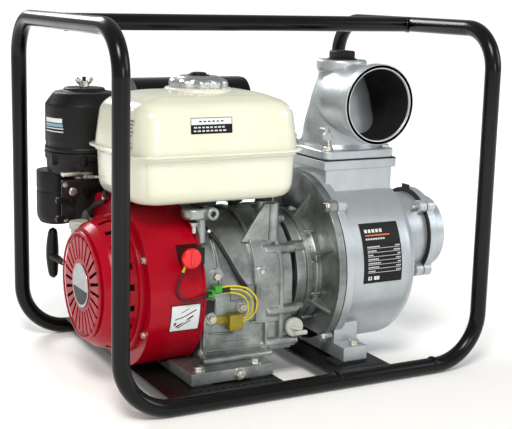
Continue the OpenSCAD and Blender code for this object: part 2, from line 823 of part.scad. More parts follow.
module muffler_guard() {
    color("#1c1c1c") difference() {
        rounded_bar(muffler_x, muffler_y, muffler_z, 44, 49, 36);
        rounded_bar([muffler_x[0] + 2, muffler_x[1] - 2], muffler_y, muffler_z, 42, 47, 34);
        for (k = [0:8])
            slab([muffler_x[0] + 18 + 20 * k, muffler_x[0] + 28 + 20 * k], [muffler_y + 40, muffler_y + 50],
                [muffler_z - 26, muffler_z + 26]);
        x_rod(13, [muffler_x[1] - 3, muffler_x[1] + 1], muffler_y + 10, muffler_z - 12);
        z_rod(20, exhaust_pos[0], exhaust_pos[1], [muffler_z - 50, muffler_z - 30]);
    }
}
module exhaust_pipe() {
    color("dimgray") difference() {
        z_rod(16, exhaust_pos[0], exhaust_pos[1], [290, muffler_z - 39]);
        z_rod(13, exhaust_pos[0], exhaust_pos[1], [289, muffler_z - 38]);
        rounded_bar([muffler_x[0] + 14, muffler_x[1] - 14], muffler_y, muffler_z, 36, 40, 30);
        along_cylinder() translate([-62.5, -62.5, head_d]) cube([125, 125, head_t + 28.5]);
    }
}

module engine_switch() {
    color("#202020") difference() {
        slab([switch_x - 9, switch_x + 23], [-182, -150], [switch_z - 11, switch_z + 13]);
        x_rod(housing_r + 0.3, housing_x, axis_y, housing_z);
        y_rod(4.05, switch_x, [-183, -168], switch_z);
    }
}

module switch_knob() {
    color("red") {
        y_rod(4, switch_x, [-183, -170], switch_z);
        y_rod(15, switch_x, [-192, -182.3], switch_z);
        slab([switch_x - 3, switch_x + 3], [-197, -191], [switch_z - 13, switch_z + 13]);
    }
}

module oil_alert_unit() {
    color("#a89a3c") slab([-111, -89], [-164, axis_y - case_r], [93, 118]);
}

module wire_leads() {
    color("gold") cord(alert_route_a, 1.2);
    color("gold") cord(alert_route_b, 1.2);
    color("#202020") cord(switch_route, 1.6);
    color("#202020") cord(plug_route, 3.5);
    color("green") for (k = [0:1])
        slab([-150 + 12 * k, -140 + 12 * k], [-168, -158], [150 + 5 * k, 162 + 5 * k]);
}

module hoses() {
    color("#202020") cord(vent_route, 4);
    color("#202020") cord(fuel_route, 4);
}

module oil_filler_cap() {
    front = axis_y - case_r - 2;
    color("#c8c8c4") {
        y_rod(8.7, filler_x, [front, front + 30], filler_z);
        y_rod(15, filler_x, [front - 9, front], filler_z);
        slab([filler_x - 3, filler_x + 20], [front - 14, front - 8], [filler_z - 12, filler_z - 4]);
    }
}

module fasteners() {
    color("silver") {
        for (x = base_bolt_x, y = base_bolt_y)
            translate([x, y, base_z[1]]) bolt(5, base_z[1] - 16, 8.5, 7);
        for (y = [foot_y[0] + 15, foot_y[1] - 15])
            translate([foot_x[1] - 15, y, 52]) bolt(5, 36, 8.5, 7);
        translate([-111, base_y[0], 37]) rotate([90, 0, 0]) bolt(4.9, 16, 8, 7);
        for (p = [[-129, 178], [-136, 112], [-84, 125]])
            translate([p[0], axis_y - case_r, p[1]]) rotate([90, 0, 0]) bolt_head(6.5, 6);
        for (a = lug_angles)
            translate([flange_x[3], axis_y + flange_r * cos(a), casing_z + flange_r * sin(a)])
                rotate([0, 90, 0]) bolt(4.5, flange_x[3] - flange_x[0], 7.5, 6);
        for (x = [neck_x[0] + 14, neck_x[1] - 14], y = [neck_y[0] + 14, neck_y[1] - 14])
            translate([x, y, elbow_flange_top]) bolt(4.5, 30, 7.5, 6);
        for (a = lug_angles)
            translate([299, axis_y + 77 * cos(a), suction_z + 77 * sin(a)]) rotate([0, 90, 0])
                bolt(4, 30, 7, 6);
        for (p = stud_points)
            translate([bracket_disc_x[1], axis_y + p[0], axis_z + p[1]]) rotate([0, 90, 0])
                bolt(4, 20, 7, 6);
    }
}

module lugs(x, r, y0, z0, hole_r) {
    for (a = lug_angles)
        difference() {
            x_rod(lug_r, x, y0 + r * cos(a), z0 + r * sin(a));
            x_rod(hole_r, [x[0] - 1, x[1] + 1], y0 + r * cos(a), z0 + r * sin(a));
        }
}
module lug_holes(x, r, y0, z0, hole_r) {
    for (a = lug_angles)
        x_rod(hole_r, x, y0 + r * cos(a), z0 + r * sin(a));
}
module below_cut(z) {
    slab([0, 400], [-300, 300], [0, z]);
}

module pump_bracket() {
    color("#a9aaa6") difference() {
        union() {
            x_rod(98, bracket_disc_x);
            x_rod(58, [cover_boss_x + 2, flange_x[0]]);
            x_rod(flange_r, [flange_x[0], flange_x[1]], axis_y, casing_z);
            lugs([flange_x[0], flange_x[1]], flange_r, axis_y, casing_z, 4.6);
            for (a = [0:45:315])
                translate([0, axis_y, axis_z]) rotate([a + 22.5, 0, 0]) rib();
            for (p = stud_points)
                x_rod(10, [cover_x[1] + 14, bracket_disc_x[0] + 1], axis_y + p[0], axis_z + p[1]);
        }
        x_rod(50, [cover_boss_x, flange_x[0]]);
        x_rod(22, [flange_x[0] - 1, 70]);
        x_rod(21, [69, flange_x[1] + 1]);
        for (p = stud_points)
            x_rod(4.1, [cover_x[1], bracket_disc_x[1] + 1], axis_y + p[0], axis_z + p[1]);
        below_cut(foot_z);
        slab([flange_x[0] - 5, flange_x[1] + 1], [-300, 300], [0, 62]);
        lug_holes([flange_x[0] - 1, flange_x[1] + 1], flange_r, axis_y, casing_z, 4.6);
    }
}
// Radial rib from the drum to the flange, 4 mm thick
module rib() {
    translate([0, 0, -2]) linear_extrude(4)
        polygon([[38, 56], [38, 96], [flange_x[0] + 1, 138], [flange_x[0] + 1, 56]]);
}

// Outline of the pump casing: radius, then station
module casing_shell(t) {
    r = casing_r - t;
    e = casing_end_x - t;
    x_turned(concat([[0, flange_x[2] - (t > 0 ? 1 : 0)], [r, flange_x[2] - (t > 0 ? 1 : 0)], [r, e - 26]],
        [for (a = [15:15:75]) [r - 26 + 26 * cos(a), e - 26 + 26 * sin(a)]],
        [[r - 26, e], [0, e]]), axis_y, casing_z);
}

module pump_casing() {
    color("#b9bbb8") difference() {
        union() {
            casing_shell(0);
            x_rod(flange_r, [flange_x[2], flange_x[3]], axis_y, casing_z);
            lugs([flange_x[2], flange_x[3]], flange_r, axis_y, casing_z, 4.6);
            slab(foot_x_casing, foot_y, [foot_z, 52]);
            slab(foot_x_casing, [foot_y[0] + 30, foot_y[1] - 30], [foot_z, 84]);
            slab([80, 205], [-116, 16], [230, 323]);
            slab(neck_x, neck_y, [322, neck_top]);
            x_rod(70, [200, nose_x], axis_y, suction_z);
            lugs([nose_x - 14, nose_x], 77, axis_y, suction_z, 4.1);
            x_rod(12, [200, casing_end_x + 8], axis_y, 62);
        }
        casing_shell(5);
        slab([85, 200], [-111, 11], [225, 312]);
        z_rod(50, elbow_pos[0], elbow_pos[1], [311, neck_top + 1]);
        x_rod(62, [195, nose_x + 1], axis_y, suction_z);
        below_cut(foot_z);
        lug_holes([flange_x[2] - 1, flange_x[3] + 1], flange_r, axis_y, casing_z, 4.6);
        lug_holes([flange_x[3], foot_x[1] + 1], flange_r, axis_y, casing_z, 10.5);
        lug_holes([nose_x - 15, nose_x + 1], 77, axis_y, suction_z, 4.1);
        for (x = [neck_x[0] + 14, neck_x[1] - 14], y = [neck_y[0] + 14, neck_y[1] - 14])
            z_rod(4.6, x, y, [elbow_flange_top - 31, neck_top + 1]);
        for (y = [foot_y[0] + 15, foot_y[1] - 15])
            z_rod(5.5, foot_x[1] - 15, y, [10, 53]);
    }
}

module pump_gaskets() {
    color("#202020") difference() {
        x_rod(flange_r - 1, [flange_x[1], flange_x[2]], axis_y, casing_z);
        x_rod(casing_r - 3, [flange_x[1] - 1, flange_x[2] + 1], axis_y, casing_z);
        lug_holes([flange_x[1] - 1, flange_x[2] + 1], flange_r, axis_y, casing_z, 4.6);
        below_cut(62);
    }
    color("#202020") difference() {
        slab(neck_x, neck_y, [neck_top, neck_top + 2]);
        z_rod(52, elbow_pos[0], elbow_pos[1], [neck_top - 1, neck_top + 3]);
        for (x = [neck_x[0] + 14, neck_x[1] - 14], y = [neck_y[0] + 14, neck_y[1] - 14])
            z_rod(4.6, x, y, [neck_top - 1, neck_top + 3]);
    }
    color("#202020") difference() {
        union() {
            x_rod(78, [nose_x, nose_x + 2], axis_y, suction_z);
            slab([nose_x, nose_x + 2], [axis_y - 10, axis_y + 10], [suction_z + 70, suction_z + 84]);
        }
        x_rod(suction_seat_r + 6, [nose_x - 1, nose_x + 3], axis_y, suction_z);
        lug_holes([nose_x - 1, nose_x + 3], 77, axis_y, suction_z, 4.1);
    }
}

module volute() {
    color("#8c8c88") difference() {
        x_rod(100, [flange_x[1], 124]);
        x_rod(80, [flange_x[1] - 1, 116]);
        x_rod(34, [110, 125]);
        slab([80, 110], [axis_y - 20, axis_y + 60], [axis_z + 60, axis_z + 110]);
    }
}

module impeller() {
    color("#6f6f6c") difference() {
        union() {
            x_rod(impeller_r, [86, 91]);
            x_rod(22, [86, 108]);
            for (k = [0:3])
                translate([90, axis_y, axis_z]) rotate([90 * k, 0, 0]) rotate([0, 90, 0]) vane();
        }
        x_rod(shaft_r, [85, shaft_end_x]);
    }
}
// Curved vane: part of a ring
module vane() {
    linear_extrude(22) intersection() {
        circle(r = impeller_r - 1);
        translate([0, 42]) difference() {
            circle(r = 40);
            circle(r = 35);
            translate([-50, -50]) square([50, 100]);
        }
    }
}

module seal_rotor() {
    color("dimgray") difference() {
        x_rod(20, [70.3, 85]);
        x_rod(shaft_r, [69, 86]);
    }
}

module elbow_shell(t) {
    translate([elbow_pos[0], elbow_pos[1], 0]) rotate_extrude()
        polygon([[0, 340], [61 - t, 340], [61 - t, 366], [56 - t, 404], [48 - t, 434], [38 - t, 446],
            [38 - t, 476 - t], [0, 476 - t]]);
    y_rod(58 - t, elbow_pos[0], [outlet_y + 10, elbow_pos[1]], outlet_z);
    translate([elbow_pos[0], elbow_pos[1], outlet_z]) sphere(r = 58 - t);
}
module discharge_elbow() {
    color("#b9bbb8") difference() {
        union() {
            elbow_shell(0);
            slab(neck_x, neck_y, [neck_top + 2, elbow_flange_top]);
            y_rod(63.5, elbow_pos[0], [outlet_y, outlet_y + 26], outlet_z);
            z_rod(41, elbow_pos[0], elbow_pos[1], [474, prime_top]);
            slab([90, 98], [-94, -50], [358, 386]);
        }
        elbow_shell(5);
        z_rod(50, elbow_pos[0], elbow_pos[1], [330, 360]);
        y_rod(port_r, elbow_pos[0], [outlet_y - 1, outlet_y + 24], outlet_z);
        z_rod(20, elbow_pos[0], elbow_pos[1], [460, prime_top + 1]);
        for (x = [neck_x[0] + 14, neck_x[1] - 14], y = [neck_y[0] + 14, neck_y[1] - 14])
            z_rod(4.6, x, y, [neck_top + 1, elbow_flange_top + 1]);
    }
}

module priming_plug() {
    color("#202020") {
        z_rod(19.8, elbow_pos[0], elbow_pos[1], [474, prime_top]);
        z_rod(24, elbow_pos[0], elbow_pos[1], [prime_top, prime_top + 2]);
        slab([elbow_pos[0] - 16, elbow_pos[0] + 16], [elbow_pos[1] - 16, elbow_pos[1] + 16],
            [prime_top + 2, prime_top + 15]);
    }
}

module suction_flange() {
    color("#b9bbb8") difference() {
        union() {
            x_rod(78, [nose_x + 2, 299], axis_y, suction_z);
            lugs([nose_x + 2, 299], 77, axis_y, suction_z, 4.1);
            x_rod(60, [298, suction_face_x], axis_y, suction_z);
            x_rod(62, [308, suction_face_x], axis_y, suction_z);
        }
        x_rod(suction_seat_r, [nose_x + 1, 300], axis_y, suction_z);
        x_rod(port_r, [299, suction_face_x + 1], axis_y, suction_z);
        lug_holes([nose_x + 1, 300], 77, axis_y, suction_z, 4.1);
    }
}

module check_valve_flap() {
    color("#303030") {
        x_rod(47, [nose_x - 3, nose_x + 1.7], axis_y, suction_z);
        slab([nose_x - 3, nose_x - 0.4], [axis_y - 12, axis_y + 12], [suction_z + 40, flap_hinge_z]);
        y_rod(2, nose_x - 2.4, [axis_y - 16, axis_y + 16], flap_hinge_z);
        x_rod(26, [nose_x - 8, nose_x - 3], axis_y, suction_z);
    }
}

module label_plates() {
    color("#202020") intersection() {
        difference() {
            x_rod(casing_r + 0.8, [112, 184], axis_y, casing_z);
            x_rod(casing_r, [111, 185], axis_y, casing_z);
        }
        slab([100, 190], [-200, axis_y], [150, 242]);
    }
    color("silver") x_rod(34, [recoil_x - 2, recoil_x], axis_y, recoil_z);
}

left_hoop();
right_hoop();
bottom_rails();
lifting_bar();
cross_plates();
rubber_mounts();
crankcase();
side_cover();
cover_gasket();
crank_bearings();
shaft_seals();
crankshaft();
crank_throw();
camshaft();
connecting_rod();
piston();
cylinder_head();
valve_cover();
spark_plug();
flywheel_fan();
fan_housing();
recoil_cover();
recoil_reel();
starter_rope();
recoil_handle();
tank_lower();
tank_upper();
fuel_cap();
cap_seal();
carburetor();
intake_pipe();
air_cleaner_base();
air_cleaner_cover();
air_filter_element();
wing_nut();
control_plate();
throttle_lever();
choke_lever();
fuel_lever();
muffler();
muffler_guard();
exhaust_pipe();
engine_switch();
switch_knob();
oil_alert_unit();
wire_leads();
hoses();
oil_filler_cap();
fasteners();
pump_bracket();
pump_casing();
pump_gaskets();
volute();
impeller();
seal_rotor();
discharge_elbow();
priming_plug();
suction_flange();
check_valve_flap();
label_plates();
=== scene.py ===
# Portable engine-driven water pump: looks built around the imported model.
import math

import bmesh
import bpy
import numpy as np
from mathutils import Matrix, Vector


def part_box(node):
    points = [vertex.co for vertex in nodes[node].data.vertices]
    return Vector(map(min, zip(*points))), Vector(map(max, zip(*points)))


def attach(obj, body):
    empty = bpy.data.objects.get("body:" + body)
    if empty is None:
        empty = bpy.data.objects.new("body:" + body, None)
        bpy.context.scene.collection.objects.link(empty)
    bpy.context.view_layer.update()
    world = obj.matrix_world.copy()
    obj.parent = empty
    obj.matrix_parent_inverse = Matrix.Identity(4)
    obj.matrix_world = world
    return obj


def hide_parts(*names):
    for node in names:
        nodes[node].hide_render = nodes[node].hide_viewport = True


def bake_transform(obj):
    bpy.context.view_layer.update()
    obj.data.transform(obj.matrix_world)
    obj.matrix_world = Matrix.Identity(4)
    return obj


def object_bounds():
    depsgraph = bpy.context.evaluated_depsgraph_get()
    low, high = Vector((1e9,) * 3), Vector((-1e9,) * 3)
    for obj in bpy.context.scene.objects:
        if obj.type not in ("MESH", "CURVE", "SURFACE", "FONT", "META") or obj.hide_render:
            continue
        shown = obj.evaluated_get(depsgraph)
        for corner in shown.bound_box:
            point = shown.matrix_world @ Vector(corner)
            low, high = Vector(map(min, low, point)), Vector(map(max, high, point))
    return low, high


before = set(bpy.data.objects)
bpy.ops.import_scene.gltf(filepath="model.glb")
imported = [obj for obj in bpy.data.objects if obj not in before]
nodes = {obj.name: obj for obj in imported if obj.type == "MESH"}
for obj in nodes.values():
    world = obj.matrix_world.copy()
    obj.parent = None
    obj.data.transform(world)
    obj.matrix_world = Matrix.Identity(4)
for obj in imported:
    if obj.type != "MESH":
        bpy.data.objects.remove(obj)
cadBox = [list(corner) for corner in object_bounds()]
print("stage: frame loaded,", len(nodes), "parts")


def linearColour(code):
    # sRGB hex such as 'c01020' to linear RGBA: each channel is raised by the sRGB curve.
    channels = [int(code[i:i + 2], 16) / 255 for i in (0, 2, 4)]
    linear = [c / 12.92 if c <= 0.04045 else ((c + 0.055) / 1.055) ** 2.4 for c in channels]
    return (*linear, 1.0)


def addNode(tree, kind, settings=None, links=None):
    # Adds one node, sets its properties or input values, and links inputs from (node, output) pairs.
    node = tree.nodes.new(kind)
    for key, value in (settings or {}).items():
        if hasattr(node, str(key)):
            setattr(node, key, value)
        else:
            node.inputs[key].default_value = value
    for key, (source, output) in (links or {}).items():
        tree.links.new(source.outputs[output], node.inputs[key])
    return node


materials = {}


def makeMaterial(name, colour, second=None, blotchMm=60, blotch=0.5, metallic=0.0, rough=(0.4, 0.5),
                 grainMm=1.0, grainDepthMm=0.02, waveMm=0, waveDepthMm=0.0, edge=None, edgeMm=1.2, coat=0.0,
                 sheen=0.0, ior=1.5, speckleMm=0, speckle=None, stretch=(1, 1, 1), gloss=0.5):
    # One finish. Colour runs between two tones by a soft noise of blotchMm, roughness by the same noise,
    # a fine noise of grainMm raises the surface by grainDepthMm, and a slow one of waveMm by waveDepthMm.
    # An edge colour shows where the rounded normal leaves the true one, as on worn or thinly covered edges.
    mat = bpy.data.materials.new(name)
    mat.use_nodes = True
    tree = mat.node_tree
    tree.nodes.clear()
    coords = addNode(tree, "ShaderNodeTexCoord")
    place = addNode(tree, "ShaderNodeMapping", {"Scale": stretch}, {"Vector": (coords, "Object")})
    soft = addNode(tree, "ShaderNodeTexNoise", {"Scale": 1000 / blotchMm, "Detail": 5.0, "Roughness": 0.6},
                   {"Vector": (place, "Vector")})
    fine = addNode(tree, "ShaderNodeTexNoise", {"Scale": 1000 / grainMm, "Detail": 3.0, "Roughness": 0.6},
                   {"Vector": (place, "Vector")})
    tone = addNode(tree, "ShaderNodeMapRange", {"From Min": 0.35, "From Max": 0.65, "To Max": blotch},
                   {"Value": (soft, "Fac")})
    colourNode = addNode(tree, "ShaderNodeMix", {"data_type": "RGBA", 6: linearColour(colour),
                                                 7: linearColour(second or colour)}, {0: (tone, "Result")})
    if speckle:
        dots = addNode(tree, "ShaderNodeTexVoronoi", {"Scale": 1000 / speckleMm},
                       {"Vector": (place, "Vector")})
        few = addNode(tree, "ShaderNodeMapRange", {"From Min": 0.10, "From Max": 0.22, "To Min": 0.55,
                                                   "To Max": 0.0}, {"Value": (dots, "Distance")})
        colourNode = addNode(tree, "ShaderNodeMix", {"data_type": "RGBA", 7: linearColour(speckle)},
                             {0: (few, "Result"), 6: (colourNode, 2)})
    roundNormal = addNode(tree, "ShaderNodeBevel", {"samples": 4, "Radius": edgeMm / 1000})
    if edge:
        geometry = addNode(tree, "ShaderNodeNewGeometry")
        turn = addNode(tree, "ShaderNodeVectorMath", {"operation": "DOT_PRODUCT"},
                       {0: (roundNormal, "Normal"), 1: (geometry, "Normal")})
        worn = addNode(tree, "ShaderNodeMapRange", {"From Min": 0.97, "From Max": 0.80, "To Max": 0.7},
                       {"Value": (turn, "Value")})
        broken = addNode(tree, "ShaderNodeMath", {"operation": "MULTIPLY"},
                         {0: (worn, "Result"), 1: (soft, "Fac")})
        colourNode = addNode(tree, "ShaderNodeMix", {"data_type": "RGBA", 7: linearColour(edge)},
                             {0: (broken, "Value"), 6: (colourNode, 2)})
    roughNode = addNode(tree, "ShaderNodeMapRange", {"From Min": 0.3, "From Max": 0.7, "To Min": rough[0],
                                                     "To Max": rough[1]}, {"Value": (soft, "Fac")})
    grain = addNode(tree, "ShaderNodeBump", {"Distance": grainDepthMm / 1000, "Strength": 1.0},
                    {"Height": (fine, "Fac"), "Normal": (roundNormal, "Normal")})
    if waveMm:
        slow = addNode(tree, "ShaderNodeTexNoise", {"Scale": 1000 / waveMm, "Detail": 2.0},
                       {"Vector": (place, "Vector")})
        grain = addNode(tree, "ShaderNodeBump", {"Distance": waveDepthMm / 1000, "Strength": 1.0},
                        {"Height": (slow, "Fac"), "Normal": (grain, "Normal")})
    shader = addNode(tree, "ShaderNodeBsdfPrincipled", {"Metallic": metallic, "Coat Weight": coat,
                                                        "Coat Roughness": 0.08, "Sheen Weight": sheen,
                                                        "IOR": ior, "Specular IOR Level": gloss},
                     {"Base Color": (colourNode, 2), "Roughness": (roughNode, "Result"),
                      "Normal": (grain, "Normal")})
    addNode(tree, "ShaderNodeOutputMaterial", links={"Surface": (shader, "BSDF")})
    materials[name] = mat
    return mat


# Steel tube under gloss powder coat: deep black, faint orange peel, grey where the coat thins on edges
makeMaterial("blackPowderCoatedSteel", "050506", "0c0c0d", blotchMm=90, rough=(0.16, 0.26), grainMm=1.6,
             grainDepthMm=0.012, waveMm=9, waveDepthMm=0.05, edge="2c2c2e", edgeMm=0.8, gloss=0.25)
# Mild steel plate, brushed satin black
makeMaterial("satinBlackPaintedPlate", "0b0b0c", "131314", rough=(0.35, 0.55), grainMm=1.2, grainDepthMm=0.02,
             edge="5a5a5a", edgeMm=0.8)
# Moulded nitrile rubber: grey bloom on black, no shine
makeMaterial("mouldedBlackRubber", "0f0f0f", "1b1b1b", blotchMm=25, rough=(0.6, 0.8), grainMm=0.7,
             grainDepthMm=0.03)
# Pressure die-cast aluminium: pale grey with darker flow marks and a fine pebble
makeMaterial("dieCastAluminium", "aaafad", "5f6563", blotchMm=45, blotch=0.8, metallic=0.85,
             rough=(0.3, 0.46), grainMm=1.1, grainDepthMm=0.06, waveMm=8, waveDepthMm=0.08, edge="e4e4e0",
             edgeMm=1.4)
# Sand-cast aluminium under silver paint: soft sheen, sandy pebble
makeMaterial("silverPaintedCasting", "c0c6c9", "a6adb2", blotchMm=70, blotch=0.6, metallic=0.7,
             rough=(0.33, 0.46), grainMm=1.5, grainDepthMm=0.10, waveMm=12, waveDepthMm=0.14, edge="d8dbdd",
             edgeMm=2.2)
# Pressed jointing paper: brown fibre
makeMaterial("fibreGasket", "7a5430", "5a3c20", blotchMm=8, rough=(0.7, 0.85), grainMm=0.8, grainDepthMm=0.03)
# Zinc-plated turned steel: bright, faint blue-yellow passivation
makeMaterial("zincPlatedSteel", "c9c8c2", "b5b3a4", blotchMm=7, metallic=1.0, rough=(0.24, 0.4), grainMm=0.6,
             grainDepthMm=0.02, edge="efefec", edgeMm=0.5)
# Grey cast iron and sooted steel
makeMaterial("greyCastIron", "4a4a48", "37352f", blotchMm=18, metallic=0.6, rough=(0.5, 0.7), grainMm=1.0,
             grainDepthMm=0.08)
# Pressed steel under stoved red enamel: clear gloss over a deep red
makeMaterial("redStovedEnamel", "a3001a", "8a0014", blotchMm=110, rough=(0.2, 0.3), grainMm=1.4,
             grainDepthMm=0.008, waveMm=22, waveDepthMm=0.10, edge="b81c36", edgeMm=1.2, gloss=0.2)
# Pressed steel under cream enamel
makeMaterial("creamStovedEnamel", "dcddca", "d2d2ba", blotchMm=120, rough=(0.16, 0.26), grainMm=1.5,
             grainDepthMm=0.008, waveMm=30, waveDepthMm=0.10, edge="f6f4ec", edgeMm=1.5, coat=0.7)
# Injection-moulded nylon with a spark-eroded grain
makeMaterial("mouldedBlackNylon", "060607", "0c0c0d", blotchMm=40, rough=(0.36, 0.5), grainMm=0.9,
             grainDepthMm=0.05, edge="2a2a2b", edgeMm=1.0, gloss=0.3)
# Braided nylon rope, off-white
makeMaterial("braidedNylonRope", "cfccc0", "b0ac9c", blotchMm=3, rough=(0.7, 0.85), grainMm=0.8,
             grainDepthMm=0.2, sheen=0.3)
# Pressed steel, nickel-chrome plated
makeMaterial("chromePlatedSteel", "c6c8c8", "b0b2b2", blotchMm=30, metallic=1.0, rough=(0.3, 0.42),
             grainMm=1.0, grainDepthMm=0.02, edgeMm=0.8)
# Oiled polyurethane filter foam
makeMaterial("filterFoam", "8a7a34", "6d5f26", blotchMm=6, rough=(0.85, 0.95), grainMm=1.2, grainDepthMm=0.5)
# Gloss-moulded signal red ABS
makeMaterial("glossRedAbs", "dc0a0a", "c80808", blotchMm=20, rough=(0.18, 0.28), grainMm=1.0,
             grainDepthMm=0.01, edge="f06a5a", edgeMm=0.8, coat=0.3)
# Yellow-passivated zinc on a pressed box: olive gold
makeMaterial("yellowPassivatedZinc", "a09032", "7f7a38", blotchMm=9, metallic=0.85, rough=(0.3, 0.45),
             grainMm=0.8, grainDepthMm=0.02, edge="d8cf8c", edgeMm=0.6)
# Soft vinyl insulation, yellow
makeMaterial("yellowVinylInsulation", "dccb10", "c8b40a", blotchMm=12, rough=(0.3, 0.45), grainMm=0.8,
             grainDepthMm=0.01)
# Moulded green nylon connector
makeMaterial("greenNylonConnector", "2f9a1c", "24801a", blotchMm=10, rough=(0.35, 0.5), grainMm=0.8,
             grainDepthMm=0.02)
# Moulded light-grey nylon
makeMaterial("greyMouldedNylon", "b9bcb4", "a3a69e", blotchMm=15, rough=(0.4, 0.55), grainMm=0.8,
             grainDepthMm=0.04, edge="d8dad4", edgeMm=0.8)
# Lapped alumina seal face
makeMaterial("lappedAlumina", "cfc8b8", "c0b8a6", blotchMm=10, rough=(0.2, 0.3), grainMm=0.6,
             grainDepthMm=0.005)
# Painted shade on the sand-cast wall deep inside a port: near black, chalky
makeMaterial("paintedShadeWall", "1a1b1b", "101111", blotchMm=30, rough=(0.75, 0.9), grainMm=1.5,
             grainDepthMm=0.12, gloss=0.15)
# Machined end of a casting: pale bare aluminium with fine turning
makeMaterial("facedAluminiumRim", "e6e8e4", "d4d7d3", blotchMm=20, metallic=0.35, rough=(0.35, 0.45),
             grainMm=0.6, grainDepthMm=0.01)
# Printed polyester label, black
makeMaterial("printedBlackLabel", "0a0a0b", "101011", blotchMm=40, rough=(0.35, 0.45), grainMm=0.8,
             grainDepthMm=0.004, gloss=0.25)
# Ink bars printed on labels
makeMaterial("paleLabelInk", "d9dbdc", "cfd1d2", blotchMm=20, rough=(0.35, 0.45), grainMm=0.8,
             grainDepthMm=0.004)
makeMaterial("orangeLabelInk", "e07a28", "d66f20", blotchMm=20, rough=(0.35, 0.45), grainMm=0.8,
             grainDepthMm=0.004)
makeMaterial("blueLabelInk", "7fa3b8", "6f95ac", blotchMm=20, rough=(0.35, 0.45), grainMm=0.8,
             grainDepthMm=0.004)
makeMaterial("clearedSilverBadge", "a9abad", "8f9193", blotchMm=14, metallic=0.9, rough=(0.22, 0.34),
             grainMm=0.9, grainDepthMm=0.01, edge="e4e4e4", edgeMm=0.6)

finishOf = {
    "blackPowderCoatedSteel": ["left_hoop", "right_hoop", "bottom_rails", "lifting_bar", "muffler_guard"],
    "satinBlackPaintedPlate": ["cross_plates", "control_plate"],
    "mouldedBlackRubber": ["rubber_mounts", "shaft_seals", "spark_plug", "cap_seal", "hoses", "pump_gaskets",
                           "check_valve_flap"],
    "dieCastAluminium": ["crankcase", "side_cover", "connecting_rod", "piston", "cylinder_head",
                         "valve_cover", "carburetor", "pump_bracket"],
    "silverPaintedCasting": ["pump_casing", "discharge_elbow", "suction_flange"],
    "fibreGasket": ["cover_gasket"],
    "zincPlatedSteel": ["crank_bearings", "crankshaft", "crank_throw", "wing_nut", "fasteners"],
    "greyCastIron": ["camshaft", "flywheel_fan", "muffler", "exhaust_pipe", "volute", "impeller"],
    "redStovedEnamel": ["fan_housing", "recoil_cover"],
    "creamStovedEnamel": ["tank_lower", "tank_upper"],
    "mouldedBlackNylon": ["recoil_reel", "recoil_handle", "intake_pipe", "air_cleaner_base",
                          "air_cleaner_cover", "throttle_lever", "choke_lever", "fuel_lever",
                          "engine_switch", "priming_plug"],
    "braidedNylonRope": ["starter_rope"],
    "chromePlatedSteel": ["fuel_cap"],
    "filterFoam": ["air_filter_element"],
    "glossRedAbs": ["switch_knob"],
    "yellowPassivatedZinc": ["oil_alert_unit"],
    "yellowVinylInsulation": ["wire_leads"],
    "greyMouldedNylon": ["oil_filler_cap"],
    "lappedAlumina": ["seal_rotor"],
    "printedBlackLabel": ["label_plates"],
}
for finish, members in finishOf.items():
    for member in members:
        slots = nodes[member].data.materials
        slots.clear()
        slots.append(materials[finish])
print("stage: finishes set")

mm = 0.001   # shapes are worked out in millimetres


def gridFaces(rows, columns, start=0, closed=True):
    # Quads between neighbouring rows of a grid; the last column joins the first when closed.
    row = np.arange(rows - 1)[:, None]
    column = np.arange(columns if closed else columns - 1)[None, :]
    following = (column + 1) % columns
    quads = [row * columns + column, row * columns + following, (row + 1) * columns + following,
             (row + 1) * columns + column]
    return (np.stack(np.broadcast_arrays(*quads), -1).reshape(-1, 4) + start).tolist()


def axisFrame(direction):
    # Two unit vectors square to a direction, and the direction itself, as rows.
    along = np.array(direction, float) / np.linalg.norm(direction)
    helper = np.array([0, 0, 1.0]) if abs(along[2]) < 0.9 else np.array([1.0, 0, 0])
    across = np.cross(helper, along)
    across /= np.linalg.norm(across)
    return across, np.cross(along, across), along


def turned(profile, centre, direction=(0, 0, 1), sides=96, ripple=None, start=0.0):
    # Surface of revolution: each profile point (radius, height) runs round the direction. A ripple is
    # (count, depth, firstRow, lastRow): the radius of those rows waves by depth, count times a turn.
    profile = np.array(profile, float)
    across, up, along = axisFrame(direction)
    angle = np.arange(sides) * 2 * np.pi / sides + start
    radius = np.repeat(profile[:, :1], sides, 1)
    if ripple:
        count, depth, first, last = ripple
        radius[first:last] += depth * np.cos(count * angle)[None, :]
    ring = np.cos(angle)[:, None] * across + np.sin(angle)[:, None] * up
    points = radius[:, :, None] * ring[None] + profile[:, 1, None, None] * along + np.array(centre, float)
    return points.reshape(-1, 3), gridFaces(len(profile), sides)


def rounded(points, radius, steps=4):
    # An open outline with each inner corner cut back by radius and replaced by a quadratic curve.
    points = [np.array(p, float) for p in points]
    t = np.linspace(0, 1, steps + 1)[:, None]
    result = [points[0][None]]
    for before, corner, after in zip(points, points[1:], points[2:]):
        legIn, legOut = before - corner, after - corner
        lengthIn, lengthOut = np.linalg.norm(legIn), np.linalg.norm(legOut)
        cut = min(radius, lengthIn * 0.45, lengthOut * 0.45)
        a, b = corner + legIn / lengthIn * cut, corner + legOut / lengthOut * cut
        result.append((1 - t) ** 2 * a + 2 * t * (1 - t) * corner + t ** 2 * b)
    result.append(points[-1][None])
    return np.concatenate(result)


def smoothPath(points, steps=6):
    # Catmull-Rom curve through the points, steps samples to each stretch.
    points = np.array(points, float)
    padded = np.concatenate([points[:1], points, points[-1:]])
    t = np.linspace(0, 1, steps, endpoint=False)[None, :, None]
    a, b, c, d = (padded[i:len(padded) - 3 + i, None] for i in range(4))
    curve = 0.5 * (2 * b + (c - a) * t + (2 * a - 5 * b + 4 * c - d) * t ** 2
                   + (3 * b - a - 3 * c + d) * t ** 3)
    return np.concatenate([curve.reshape(-1, 3), points[-1:]])


